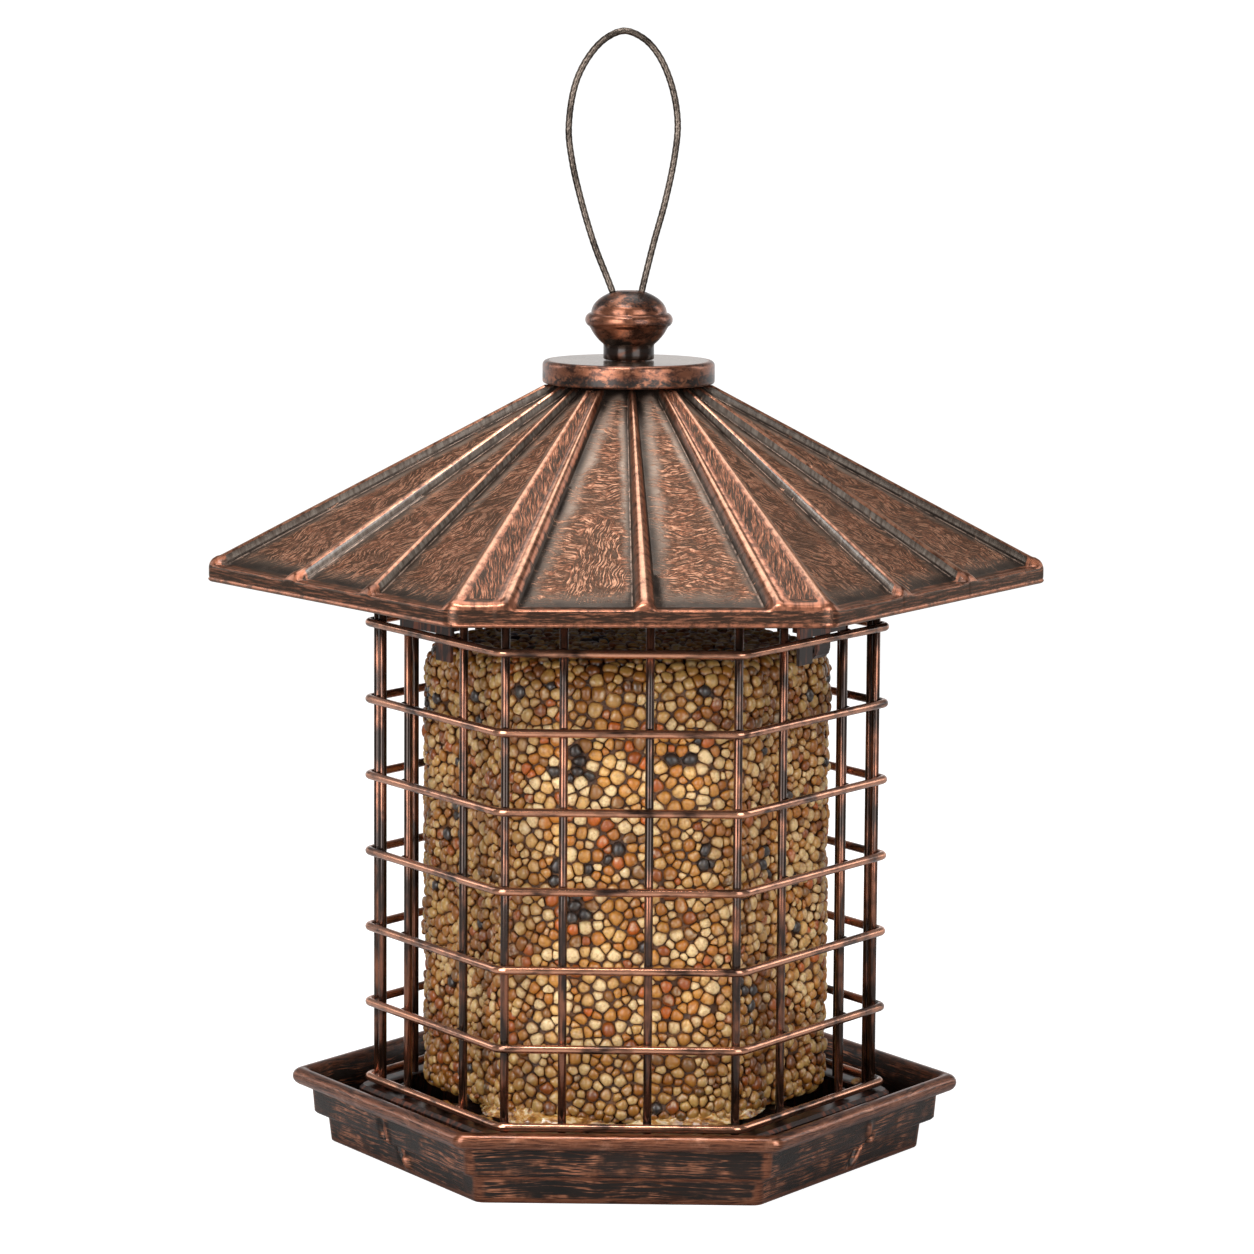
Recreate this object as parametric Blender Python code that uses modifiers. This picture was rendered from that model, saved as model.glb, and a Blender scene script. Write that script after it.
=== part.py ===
"""Hexagonal hanging bird feeder: a tray, a welded wire cage round a block of seed, and a ribbed roof that slides up its cable.

Metres, +Z up. The origin is the middle of the tray's underside. Two corners of the hexagons point along +X and -X,
and a shorter side faces the front, -Y.
"""
import math

import bmesh
import bpy
from mathutils import Matrix, Vector

# Shape of the hexagons: distance to the front and back sides over the distance to the side corners
APOTHEM_SHARE = math.cos(math.radians(30.0))
SIDES = 6

# Gaps between separate pieces
SEAT_GAP = 0.0003
WELD_GAP = 0.0003
CABLE_CLEARANCE = 0.00035
THREAD_CLEARANCE = 0.0003
OVERRUN = 0.002

# Tray
TRAY_CORNER_RADIUS = 0.0998
TRAY_FRONT_HALF_SIDE = 0.0457
TRAY_SHEET = 0.0008
TRAY_RIM_HEIGHT = 0.0219
TRAY_RIM_BEAD_RADIUS = 0.0021
TRAY_LEDGE_HEIGHT = 0.0086
TRAY_CORNER_BEND = 0.0032
TRAY_PANEL_HEIGHT = 0.0030

# Cage of welded wire
CAGE_CORNER_RADIUS = 0.0772
CAGE_FRONT_HALF_SIDE = 0.0347
WIRE_RADIUS = 0.00125
RING_COUNT = 7
RING_PITCH = 0.0229
LOWEST_RING_LIFT = 0.0023
RING_CORNER_BEND = 0.0040
UPRIGHT_OVERHANG = 0.0089
SIDE_CORNER_OVERHANG = 0.0078

# Base plate of the cage
BASE_FLANGE_OVERHANG = 0.0029
BASE_FLANGE_WIDTH = 0.0076
BASE_HEIGHT = 0.0176
BASE_SHEET = 0.0010
BASE_SPOKE_WIDTH = 0.0060
BASE_CENTRE_INSET = 0.0235

# Block of seed
BLOCK_CORNER_RADIUS = 0.0640
BLOCK_FRONT_HALF_SIDE = 0.0290
BLOCK_CORNER_BEND = 0.0200
BLOCK_HEIGHT = 0.1356
BLOCK_SHOULDER_ROUND = 0.0095
BLOCK_FOOT_ROUND = 0.0040
LUMP_SPACING = 0.0086
LUMP_HEIGHT = 0.0012

# Roof
ROOF_CORNER_RADIUS = 0.1245
ROOF_FRONT_HALF_SIDE = 0.0532
ROOF_SHEET = 0.0010
ROOF_LIFT = 0.0127
SKIRT_DEPTH = 0.0051
ROOF_RISE = 0.0587
ROOF_TOP_CORNER_RADIUS = 0.0250
ROOF_TOP_FRONT_HALF_SIDE = 0.0130
RIB_HEIGHT = 0.0029
RIB_WIDTH_AT_EAVE = 0.0066
RIB_WIDTH_AT_TOP = 0.0028
ROOF_TURN = math.radians(3.25)

# Cap disc, finial and the nut that clamps them to the roof
CAP_RADIUS = 0.0254
CAP_THICKNESS = 0.0067
FINIAL_NECK_RADIUS = 0.0075
FINIAL_BEAD_RADIUS = 0.0129
FINIAL_DOME_RADIUS = 0.0107
FINIAL_HEIGHT = 0.0202
STUD_RADIUS = 0.0050
STUD_BORE_RADIUS = 0.0031
WASHER_RADIUS = 0.0110
WASHER_THICKNESS = 0.0012
NUT_THICKNESS = 0.0060
NUT_ACROSS_FLATS = 0.0160

# Brackets that carry the roof on the top ring
BRACKET_WIDTH = 0.0280
BRACKET_SHEET = 0.0010
BRACKET_FLANGE_LENGTH = 0.0150
TONGUE_WIDTH = 0.0080
TONGUE_DEPTH = 0.0085
TONGUE_STEP_RISE = 0.0015
TONGUE_PLAY = 0.0003
CURL_RADIUS = 0.0032
CURL_DROP = 0.0051

# Cable and its ferrules
CABLE_RADIUS = 0.0010
CABLE_HOLE_RADIUS = 0.0017
CABLE_HOLE_RISE = 0.0195
CABLE_HOLE_DEPTH = 0.0105
LEFT_HOLE_OFFSET = 0.0048
RIGHT_HOLE_OFFSET = 0.0036
CABLE_SPACING = 0.0030
FERRULE_RADIUS = 0.0024
FERRULE_LENGTH = 0.0120

# Screws between the tray and the cage base
SCREW_CIRCLE_RADIUS = 0.0340
SCREW_RADIUS = 0.0015
SCREW_HEAD_RADIUS = 0.0030
SCREW_HEAD_HEIGHT = 0.0020
SMALL_NUT_ACROSS_FLATS = 0.0055
SMALL_NUT_THICKNESS = 0.0024
SCREW_COUNT = 3

COPPER = (0.30, 0.135, 0.080, 1.0)
DARK_COPPER = (0.075, 0.045, 0.034, 1.0)
DARK_BRONZE = (0.060, 0.034, 0.026, 1.0)
STEEL = (0.33, 0.32, 0.31, 1.0)
SEED = (0.55, 0.33, 0.14, 1.0)


def material(name, colour, roughness, metallic):
    made = bpy.data.materials.new(name)
    made.use_nodes = True
    shader = made.node_tree.nodes["Principled BSDF"]
    shader.inputs["Base Color"].default_value = colour
    shader.inputs["Roughness"].default_value = roughness
    shader.inputs["Metallic"].default_value = metallic
    return made


def collection(name):
    made = bpy.data.collections.new(name)
    bpy.context.scene.collection.children.link(made)
    return made


def add_mesh(name, mesh, where, finish=None, smooth_angle=40.0):
    """Puts a mesh in the scene as a named piece, smooth but for its sharp edges."""
    piece = bpy.data.objects.new(name, mesh)
    where.objects.link(piece)
    if finish:
        mesh.materials.clear()
        mesh.materials.append(material(name + "_finish", *finish))
        mesh.shade_smooth()
        mesh.set_sharp_from_angle(angle=math.radians(smooth_angle))
    else:
        piece.hide_render = True
        piece.display_type = "WIRE"
    return piece


def evaluated_mesh(piece):
    """A mesh of the piece as it is shown, with its modifiers and its place in it. The piece is removed."""
    bpy.context.view_layer.update()
    graph = bpy.context.evaluated_depsgraph_get()
    mesh = bpy.data.meshes.new_from_object(piece.evaluated_get(graph))
    mesh.transform(piece.matrix_world)
    welder = bmesh.new()
    welder.from_mesh(mesh)
    bmesh.ops.remove_doubles(welder, verts=welder.verts, dist=0.000001)
    bmesh.ops.recalc_face_normals(welder, faces=welder.faces)
    welder.to_mesh(mesh)
    welder.free()
    bpy.data.objects.remove(piece)
    return mesh


def hexagon(corner_radius, front_half_side):
    """Corners counter-clockwise from +X. The front and back sides have their own length."""
    apothem = corner_radius * APOTHEM_SHARE
    right = [(corner_radius, 0.0), (front_half_side, apothem)]
    left = [(-front_half_side, apothem), (-corner_radius, 0.0), (-front_half_side, -apothem)]
    return [Vector(point) for point in right + left + [(front_half_side, -apothem)]]


def corner_frame(plan, index):
    """Unit directions from a corner to its neighbours, and half the angle between them."""
    corner = plan[index]
    before = (plan[index - 1] - corner).normalized()
    after = (plan[(index + 1) % len(plan)] - corner).normalized()
    return corner, before, after, before.angle(after) / 2.0


def grown(plan, distance):
    """The plan with each side moved out by a distance, or in by a negative one."""
    points = []
    for index in range(len(plan)):
        corner, before, after, half_angle = corner_frame(plan, index)
        inward = (before + after).normalized()
        points.append(corner - inward * (distance / math.sin(half_angle)))
    return points


def rounded(plan, bend_radius, steps):
    """The plan's outline with each corner as an arc."""
    points = []
    for index in range(len(plan)):
        corner, before, after, half_angle = corner_frame(plan, index)
        centre = corner + (before + after).normalized() * (bend_radius / math.sin(half_angle))
        start = corner + before * (bend_radius / math.tan(half_angle)) - centre
        turn = math.pi - 2.0 * half_angle
        for step in range(steps + 1):
            angle = turn * step / steps
            points.append(centre + Matrix.Rotation(angle, 2) @ start)
    return points


def at_height(points, height):
    return [Vector((point.x, point.y, height)) for point in points]


def loft(name, rings, where, closed_ends=(False, False)):
    """A skin through closed rings of points. A closed end gets one flat face."""
    builder = bmesh.new()
    rows = [[builder.verts.new(point) for point in ring] for ring in rings]
    for lower, upper in zip(rows, rows[1:]):
        for index in range(len(lower)):
            following = (index + 1) % len(lower)
            builder.faces.new((lower[index], lower[following], upper[following], upper[index]))
    if closed_ends[0]:
        builder.faces.new(list(reversed(rows[0])))
    if closed_ends[1]:
        builder.faces.new(rows[-1])
    mesh = bpy.data.meshes.new(name)
    builder.to_mesh(mesh)
    builder.free()
    piece = bpy.data.objects.new(name, mesh)
    where.objects.link(piece)
    return piece


def thicken(piece, thickness):
    """Adds the sheet's thickness behind its outer face."""
    shell = piece.modifiers.new("sheet", "SOLIDIFY")
    shell.thickness = thickness
    shell.offset = -1.0
    shell.use_even_offset = True
    return piece


def turned(name, profile, where, steps=32):
    """A solid of revolution. The profile runs down its outer side, as (radius, height) points."""
    mesh = bpy.data.meshes.new(name)
    closed = profile[0][0] > 0.0 and profile[-1][0] > 0.0
    edges = [(index, index + 1) for index in range(len(profile) - 1)]
    if closed:
        edges.append((len(profile) - 1, 0))
    mesh.from_pydata([(radius, 0.0, height) for radius, height in profile], edges, [])
    piece = bpy.data.objects.new(name, mesh)
    where.objects.link(piece)
    screw = piece.modifiers.new("turn", "SCREW")
    screw.steps = steps
    screw.render_steps = steps
    screw.use_merge_vertices = True
    screw.merge_threshold = 0.000001
    return piece


def prism(name, outlines, thickness, where):
    """A flat outline with any holes, as thick as asked, centred on its own XY plane."""
    shape = bpy.data.curves.new(name, "CURVE")
    shape.dimensions = "2D"
    shape.fill_mode = "BOTH"
    shape.extrude = thickness / 2.0
    for outline in outlines:
        spline = shape.splines.new("POLY")
        spline.points.add(len(outline) - 1)
        for point, place in zip(spline.points, outline):
            point.co = (place[0], place[1], 0.0, 1.0)
        spline.use_cyclic_u = True
    piece = bpy.data.objects.new(name, shape)
    where.objects.link(piece)
    return piece


def tube(name, points, radius, where, cyclic=False, resolution=2):
    """A round wire along the points."""
    path = bpy.data.curves.new(name, "CURVE")
    path.dimensions = "3D"
    path.bevel_depth = radius
    path.bevel_resolution = resolution
    path.use_fill_caps = True
    spline = path.splines.new("POLY")
    spline.points.add(len(points) - 1)
    for point, place in zip(spline.points, points):
        point.co = (*place, 1.0)
    spline.use_cyclic_u = cyclic
    piece = bpy.data.objects.new(name, path)
    where.objects.link(piece)
    return piece


def rod(name, radius, low, high, where, sides=10):
    """A cylinder between two points."""
    axis = Vector(high) - Vector(low)
    builder = bmesh.new()
    bmesh.ops.create_cone(
        builder, cap_ends=True, segments=sides, radius1=radius, radius2=radius, depth=axis.length)
    mesh = bpy.data.meshes.new(name)
    builder.to_mesh(mesh)
    builder.free()
    turn = Vector((0.0, 0.0, 1.0)).rotation_difference(axis.normalized()).to_matrix().to_4x4()
    mesh.transform(Matrix.Translation((Vector(low) + Vector(high)) / 2.0) @ turn)
    piece = bpy.data.objects.new(name, mesh)
    where.objects.link(piece)
    return piece


def combine(piece, other, operation):
    """Cuts the other piece from this one, or joins it on, and removes the other."""
    tool = piece.modifiers.new(operation.lower(), "BOOLEAN")
    tool.operation = operation
    tool.solver = "EXACT"
    tool.object = other
    bpy.context.view_layer.update()
    graph = bpy.context.evaluated_depsgraph_get()
    mesh = bpy.data.meshes.new_from_object(piece.evaluated_get(graph))
    piece.modifiers.clear()
    piece.data = mesh
    bpy.data.objects.remove(other)
    return piece


def circle(radius, centre=(0.0, 0.0), sides=16):
    """Points round a circle."""
    turns = [2.0 * math.pi * step / sides for step in range(sides)]
    return [(centre[0] + radius * math.cos(turn), centre[1] + radius * math.sin(turn)) for turn in turns]


def arc(centre, radius, start_degrees, end_degrees, steps):
    """Points of an arc, both ends among them."""
    points = []
    for step in range(steps + 1):
        turn = math.radians(start_degrees + (end_degrees - start_degrees) * step / steps)
        points.append((centre[0] + radius * math.cos(turn), centre[1] + radius * math.sin(turn)))
    return points


def hexagonal_nut(name, across_flats, bore_radius, thickness, height, place, where, finish):
    corners = circle(across_flats / 2.0 / APOTHEM_SHARE, sides=SIDES)
    blank = prism(name + "_blank", [corners, circle(bore_radius)], thickness, where)
    blank.location = (place[0], place[1], height + thickness / 2.0)
    return add_mesh(name, evaluated_mesh(blank), where, finish)


def screw_places():
    turns = [math.radians(90.0) + 2.0 * math.pi * step / SCREW_COUNT for step in range(SCREW_COUNT)]
    return [(SCREW_CIRCLE_RADIUS * math.cos(turn), SCREW_CIRCLE_RADIUS * math.sin(turn)) for turn in turns]


def tray_profile():
    """The outer face of the tray's sheet from the raised floor to the end of the rolled rim.

    Each point is an inset from the rim's outline and a height.
    """
    foot_inset = 0.0104
    foot_bend = 0.0008
    foot_ring_width = 0.0126
    panel_slope = 0.0030
    lower_wall_draft = 0.0008
    ledge_bend = 0.0006
    ledge_width = 0.0024
    upper_wall_draft = 0.0005
    flare = 0.0034
    curl_centre = (TRAY_RIM_BEAD_RADIUS, TRAY_RIM_HEIGHT - TRAY_RIM_BEAD_RADIUS)
    curl_radius = TRAY_RIM_BEAD_RADIUS - TRAY_SHEET
    lower_wall_top = foot_inset - foot_bend - lower_wall_draft
    ledge_edge = lower_wall_top - ledge_bend - ledge_width
    profile = [
        (foot_inset + foot_ring_width + panel_slope, TRAY_PANEL_HEIGHT),
        (foot_inset + foot_ring_width, 0.0),
        (foot_inset, 0.0),
        (foot_inset - foot_bend, foot_bend),
        (lower_wall_top, TRAY_LEDGE_HEIGHT - ledge_bend),
        (lower_wall_top - ledge_bend, TRAY_LEDGE_HEIGHT),
        (ledge_edge, TRAY_LEDGE_HEIGHT),
        (ledge_edge - ledge_bend, TRAY_LEDGE_HEIGHT + ledge_bend),
        (ledge_edge - ledge_bend - upper_wall_draft, curl_centre[1] - flare),
    ]
    curl = arc((0.0, 0.0), curl_radius, 170.0, -100.0, 7)
    return profile + [(curl_centre[0] - across, curl_centre[1] + up) for across, up in curl]


def build_tray(parts):
    plan = hexagon(TRAY_CORNER_RADIUS, TRAY_FRONT_HALF_SIDE)
    rings = []
    for inset, height in tray_profile():
        rings.append(at_height(rounded(grown(plan, -inset), TRAY_CORNER_BEND, 3), height))
    pan = thicken(loft("tray_blank", rings, parts, (True, False)), TRAY_SHEET)
    drain_radius = 0.0022
    drain_circle_radius = 0.0560
    holes = [(place, SCREW_RADIUS + THREAD_CLEARANCE) for place in screw_places()]
    holes += [(place, drain_radius) for place in circle(drain_circle_radius, sides=SIDES)]
    for place, radius in holes:
        low = (place[0], place[1], TRAY_PANEL_HEIGHT - OVERRUN)
        high = (place[0], place[1], TRAY_PANEL_HEIGHT + TRAY_SHEET + OVERRUN)
        combine(pan, rod("hole", radius, low, high, parts, 12), "DIFFERENCE")
    add_mesh("tray_pan", evaluated_mesh(pan), parts, (DARK_COPPER, 0.42, 0.9))


def base_plan():
    return grown(hexagon(CAGE_CORNER_RADIUS, CAGE_FRONT_HALF_SIDE), BASE_FLANGE_OVERHANG)


def window_outline(index):
    """One opening of the cage base: round a corner, between the spokes at the middles of two sides."""
    outer = grown(base_plan(), -BASE_FLANGE_WIDTH)
    inner = grown(base_plan(), -BASE_CENTRE_INSET)
    points = []
    for plan, order in ((outer, (-1, 1)), (inner, (1, -1))):
        corner = plan[index]
        ends = []
        for side in order:
            neighbour = plan[(index + side) % SIDES]
            middle = (corner + neighbour) / 2.0
            ends.append(middle + (corner - neighbour).normalized() * (BASE_SPOKE_WIDTH / 2.0))
        points += [ends[0], corner, ends[1]]
    return points


def build_cage_base(parts):
    """The stamped plate that the wires stand on, with three cups that take its screws."""
    skirt_spread = 0.0008
    edge_bend = 0.0010
    corner_bend = 0.0060
    plan = base_plan()
    foot_height = TRAY_SHEET + SEAT_GAP
    rings = []
    for spread, height in ((skirt_spread, foot_height), (0.0, BASE_HEIGHT - edge_bend), (-edge_bend, BASE_HEIGHT)):
        rings.append(at_height(rounded(grown(plan, spread), corner_bend, 3), height))
    pan = thicken(loft("base_blank", rings, parts, (False, True)), BASE_SHEET)
    for index in range(SIDES):
        window = prism("window", [window_outline(index)], BASE_SHEET + 2.0 * OVERRUN, parts)
        window.location = (0.0, 0.0, BASE_HEIGHT - BASE_SHEET / 2.0)
        mesh = evaluated_mesh(window)
        combine(pan, add_mesh("window_cutter", mesh, parts), "DIFFERENCE")
    cup_top_radius = 0.0068
    cup_bottom_radius = 0.0056
    cup_bottom = TRAY_PANEL_HEIGHT + TRAY_SHEET + SEAT_GAP
    for place in screw_places():
        hole = rod("cup_hole", cup_top_radius - BASE_SHEET / 2.0, (*place, BASE_HEIGHT - BASE_SHEET - OVERRUN),
                   (*place, BASE_HEIGHT + OVERRUN), parts, 16)
        combine(pan, hole, "DIFFERENCE")
        profile = [
            (cup_top_radius, BASE_HEIGHT - BASE_SHEET / 4.0),
            (cup_bottom_radius, cup_bottom),
            (SCREW_RADIUS + THREAD_CLEARANCE, cup_bottom),
            (SCREW_RADIUS + THREAD_CLEARANCE, cup_bottom + BASE_SHEET),
            (cup_bottom_radius - BASE_SHEET, cup_bottom + BASE_SHEET),
            (cup_top_radius - BASE_SHEET, BASE_HEIGHT - BASE_SHEET / 4.0),
        ]
        cup = turned("cup", profile, parts, 16)
        cup.location = (place[0], place[1], 0.0)
        combine(pan, add_mesh("cup_blank", evaluated_mesh(cup), parts), "UNION")
    add_mesh("cage_base", evaluated_mesh(pan), parts, (DARK_BRONZE, 0.45, 0.85))


def build_base_screws(parts):
    head_top = TRAY_PANEL_HEIGHT - SEAT_GAP
    cup_floor = TRAY_PANEL_HEIGHT + TRAY_SHEET + SEAT_GAP + BASE_SHEET
    nut_height = cup_floor + SEAT_GAP
    thread_out = 0.0010
    head_flat_share = 0.7
    shank_top = nut_height + SMALL_NUT_THICKNESS + thread_out
    for index, place in enumerate(screw_places()):
        profile = [
            (0.0, shank_top),
            (SCREW_RADIUS, shank_top),
            (SCREW_RADIUS, head_top),
            (SCREW_HEAD_RADIUS, head_top),
            (SCREW_HEAD_RADIUS, head_top - SCREW_HEAD_HEIGHT / 2.0),
            (SCREW_HEAD_RADIUS * head_flat_share, head_top - SCREW_HEAD_HEIGHT),
            (0.0, head_top - SCREW_HEAD_HEIGHT),
        ]
        blank = turned("screw_blank", profile, parts, 12)
        blank.location = (place[0], place[1], 0.0)
        number = index + 1
        add_mesh("base_screw_%d" % number, evaluated_mesh(blank), parts, (STEEL, 0.35, 1.0))
        hexagonal_nut("base_nut_%d" % number, SMALL_NUT_ACROSS_FLATS, SCREW_RADIUS + THREAD_CLEARANCE,
                      SMALL_NUT_THICKNESS, nut_height, place, parts, (STEEL, 0.35, 1.0))


def ring_height(number):
    return BASE_HEIGHT + LOWEST_RING_LIFT + number * RING_PITCH


def top_ring_height():
    return ring_height(RING_COUNT - 1)


def upright_top_height():
    return top_ring_height() + UPRIGHT_OVERHANG


def side_corner_top_height():
    """The uprights at the side corners stand taller, because the cable's ferrules are crimped on them."""
    return upright_top_height() + SIDE_CORNER_OVERHANG


def skirt_bottom_height():
    return top_ring_height() + ROOF_LIFT


def roof_top_height():
    return skirt_bottom_height() + ROOF_RISE


def panel_top_height():
    """Where the roof's faces end, so that the crests of the ribs stay just under the deck."""
    crest_drop = ROOF_SHEET / 3.0
    return roof_top_height() - RIB_HEIGHT - crest_drop


def upright_plan():
    """Where the uprights stand: inside the rings, with the weld's gap between the wires."""
    return grown(hexagon(CAGE_CORNER_RADIUS, CAGE_FRONT_HALF_SIDE), -(2.0 * WIRE_RADIUS + WELD_GAP))


def upright_places():
    """Corners first, then two along each side, then the second wire of each side corner."""
    plan = upright_plan()
    places = list(plan)
    end_side_shares = (0.25, 0.62)
    flank_shares = (0.318, 0.755)
    for index in range(SIDES):
        start = plan[index]
        end = plan[(index + 1) % SIDES]
        if index in (1, 4):
            shares = end_side_shares
        elif index in (0, 3):
            shares = [1.0 - share for share in flank_shares]
        else:
            shares = flank_shares
        places += [start.lerp(end, share) for share in shares]
    pair_spacing = 2.0 * WIRE_RADIUS + WELD_GAP
    for index in (0, 3):
        along = (plan[index + 1] - plan[index]).normalized()
        places.append(plan[index] + along * pair_spacing)
    return places


def build_cage(parts):
    plan = hexagon(CAGE_CORNER_RADIUS, CAGE_FRONT_HALF_SIDE)
    for number in range(RING_COUNT):
        outline = at_height(rounded(plan, RING_CORNER_BEND, 2), ring_height(number))
        blank = tube("ring_blank", outline, WIRE_RADIUS, parts, cyclic=True)
        add_mesh("wire_ring_%d" % (number + 1), evaluated_mesh(blank), parts, (DARK_BRONZE, 0.35, 0.9), 60.0)
    for number, place in enumerate(upright_places()):
        low = (place.x, place.y, BASE_HEIGHT + SEAT_GAP)
        top = side_corner_top_height() if number in (0, 3) else upright_top_height()
        blank = rod("upright_blank", WIRE_RADIUS, low, (place.x, place.y, top), parts)
        add_mesh("wire_upright_%02d" % (number + 1), evaluated_mesh(blank), parts, (DARK_BRONZE, 0.35, 0.9))


def block_levels():
    """(inset, height, share of the lumps) up the block: the foot's round, the wall and the shoulder's round."""
    bottom = BASE_HEIGHT + SEAT_GAP
    top = bottom + BLOCK_HEIGHT
    wall_low = bottom + BLOCK_FOOT_ROUND
    wall_high = top - BLOCK_SHOULDER_ROUND
    foot = arc((0.0, 0.0), BLOCK_FOOT_ROUND, -90.0, 0.0, 1)
    levels = [(BLOCK_FOOT_ROUND - across, wall_low + up, across / BLOCK_FOOT_ROUND) for across, up in foot]
    rows = round((wall_high - wall_low) / LUMP_SPACING)
    levels += [(0.0, wall_low + (wall_high - wall_low) * row / rows, 1.0) for row in range(1, rows)]
    for across, up in arc((0.0, 0.0), BLOCK_SHOULDER_ROUND, 0.0, 90.0, 2):
        levels.append((BLOCK_SHOULDER_ROUND - across, wall_high + up, across / BLOCK_SHOULDER_ROUND))
    return levels


def spaced(outline, count):
    """Points in equal steps round a closed outline, each with its outward direction."""
    ends = outline[1:] + outline[:1]
    lengths = [(end - start).length for start, end in zip(outline, ends)]
    places = []
    passed = 0.0
    side = 0
    for number in range(count):
        distance = sum(lengths) * number / count
        while passed + lengths[side] < distance:
            passed += lengths[side]
            side += 1
        along = (ends[side] - outline[side]).normalized()
        places.append((outline[side] + along * (distance - passed), Vector((along.y, -along.x))))
    return places


def lump(column, row):
    """How far the block's skin stands out at a point: every second point is raised, and none as much as the next."""
    raised_share = 0.55
    wander_shares = (2.4, 1.7, 0.9)
    across, up, both = wander_shares
    uneven = math.sin(across * column + up * row + both * column * row)
    raised = 1.0 if (column + row) % 2 else -1.0
    return LUMP_HEIGHT * (raised_share * raised + (1.0 - raised_share) * uneven)


def build_seed_block(parts):
    """A block of pressed seed: lumpy walls, rounded corners, a round shoulder and a smaller round at its foot."""
    plan = hexagon(BLOCK_CORNER_RADIUS, BLOCK_FRONT_HALF_SIDE)
    wall = rounded(plan, BLOCK_CORNER_BEND, 6)
    length = sum((wall[index] - wall[index - 1]).length for index in range(len(wall)))
    columns = 2 * round(length / LUMP_SPACING / 2.0)
    rings = []
    for row, (inset, height, lump_share) in enumerate(block_levels()):
        outline = rounded(grown(plan, -inset), BLOCK_CORNER_BEND, 6)
        ring = []
        for column, (place, outward) in enumerate(spaced(outline, columns)):
            point = place + outward * (lump(column, row) * lump_share)
            ring.append(Vector((point.x, point.y, height)))
        rings.append(ring)
    block = loft("block_blank", rings, parts, (True, True))
    add_mesh("seed_block", evaluated_mesh(block), parts, (SEED, 0.6, 0.0))


def roof_columns(face):
    """Across one face, from its first corner to its second: (share of the side, shift in rib half widths, lift).

    The lift is a share of the rib's height.
    """
    rib_shares = ((-1.0, 0.0), (-0.55, 0.74), (0.0, 1.0), (0.55, 0.74), (1.0, 0.0))
    hip_shares = ((0.0, 1.0), (0.45, 0.85), (0.8, 0.35), (1.15, 0.0))
    end_rib_shares = (0.51,)
    band_shares = (0.14, 0.865)
    band_middle_share = 0.8
    band_edge_share = 0.85
    flank_rib_shares = (0.36, 0.67)
    columns = []
    if face in (1, 4):
        low_band, high_band = band_shares
        columns += [(0.0, shift, 1.0) for shift, _ in hip_shares[:2]]
        columns.append((low_band / 2.0, 0.0, band_middle_share))
        columns += [(low_band, shift, max(lift, band_edge_share) if shift < 0.0 else lift)
                    for shift, lift in rib_shares]
        for share in end_rib_shares:
            columns += [(share, shift, lift) for shift, lift in rib_shares]
        columns += [(high_band, shift, max(lift, band_edge_share) if shift > 0.0 else lift)
                    for shift, lift in rib_shares]
        columns.append(((1.0 + high_band) / 2.0, 0.0, band_middle_share))
        columns += [(1.0, -shift, 1.0) for shift, _ in reversed(hip_shares[:2])]
        return columns
    if face in (0, 3):
        shares = flank_rib_shares
    else:
        shares = [1.0 - share for share in reversed(flank_rib_shares)]
    columns += [(0.0, shift, lift) for shift, lift in hip_shares]
    for share in shares:
        columns += [(share, shift, lift) for shift, lift in rib_shares]
    columns += [(1.0, -shift, lift) for shift, lift in reversed(hip_shares)]
    return columns


def roof_rows():
    """From the skirt's edge up to the foot of the faces: (inset of the plan, height, share of the rib's lift)."""
    lip_height = skirt_bottom_height() + SKIRT_DEPTH
    lip_bend = 0.0010
    lip_width = 0.0024
    slope_start = 0.0042
    slope_start_lift = 0.0005
    lift_shares = (0.0, 0.12, 0.45, 0.85, 1.0)
    half_bend = arc((lip_bend, lip_height - lip_bend), lip_bend, 135.0, 135.0, 1)[0]
    places = [
        (0.0, lip_height - lip_bend),
        half_bend,
        (lip_bend, lip_height),
        (lip_width, lip_height),
        (slope_start, lip_height + slope_start_lift),
    ]
    rows = [(0.0, skirt_bottom_height(), 0.0)]
    return rows + [(inset, height, share) for (inset, height), share in zip(places, lift_shares)]


def roof_point(face, column, outline_low, outline_high, along, height, lift_share):
    """A point of the roof's outer face."""
    share, shift, lift = column
    first = outline_low[face].lerp(outline_high[face], along)
    second = outline_low[(face + 1) % SIDES].lerp(outline_high[(face + 1) % SIDES], along)
    half_width = (RIB_WIDTH_AT_EAVE + (RIB_WIDTH_AT_TOP - RIB_WIDTH_AT_EAVE) * along) / 2.0
    side = second - first
    place = first + side * share + side.normalized() * (shift * half_width)
    return Vector((place.x, place.y, height + lift * lift_share * RIB_HEIGHT))


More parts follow.
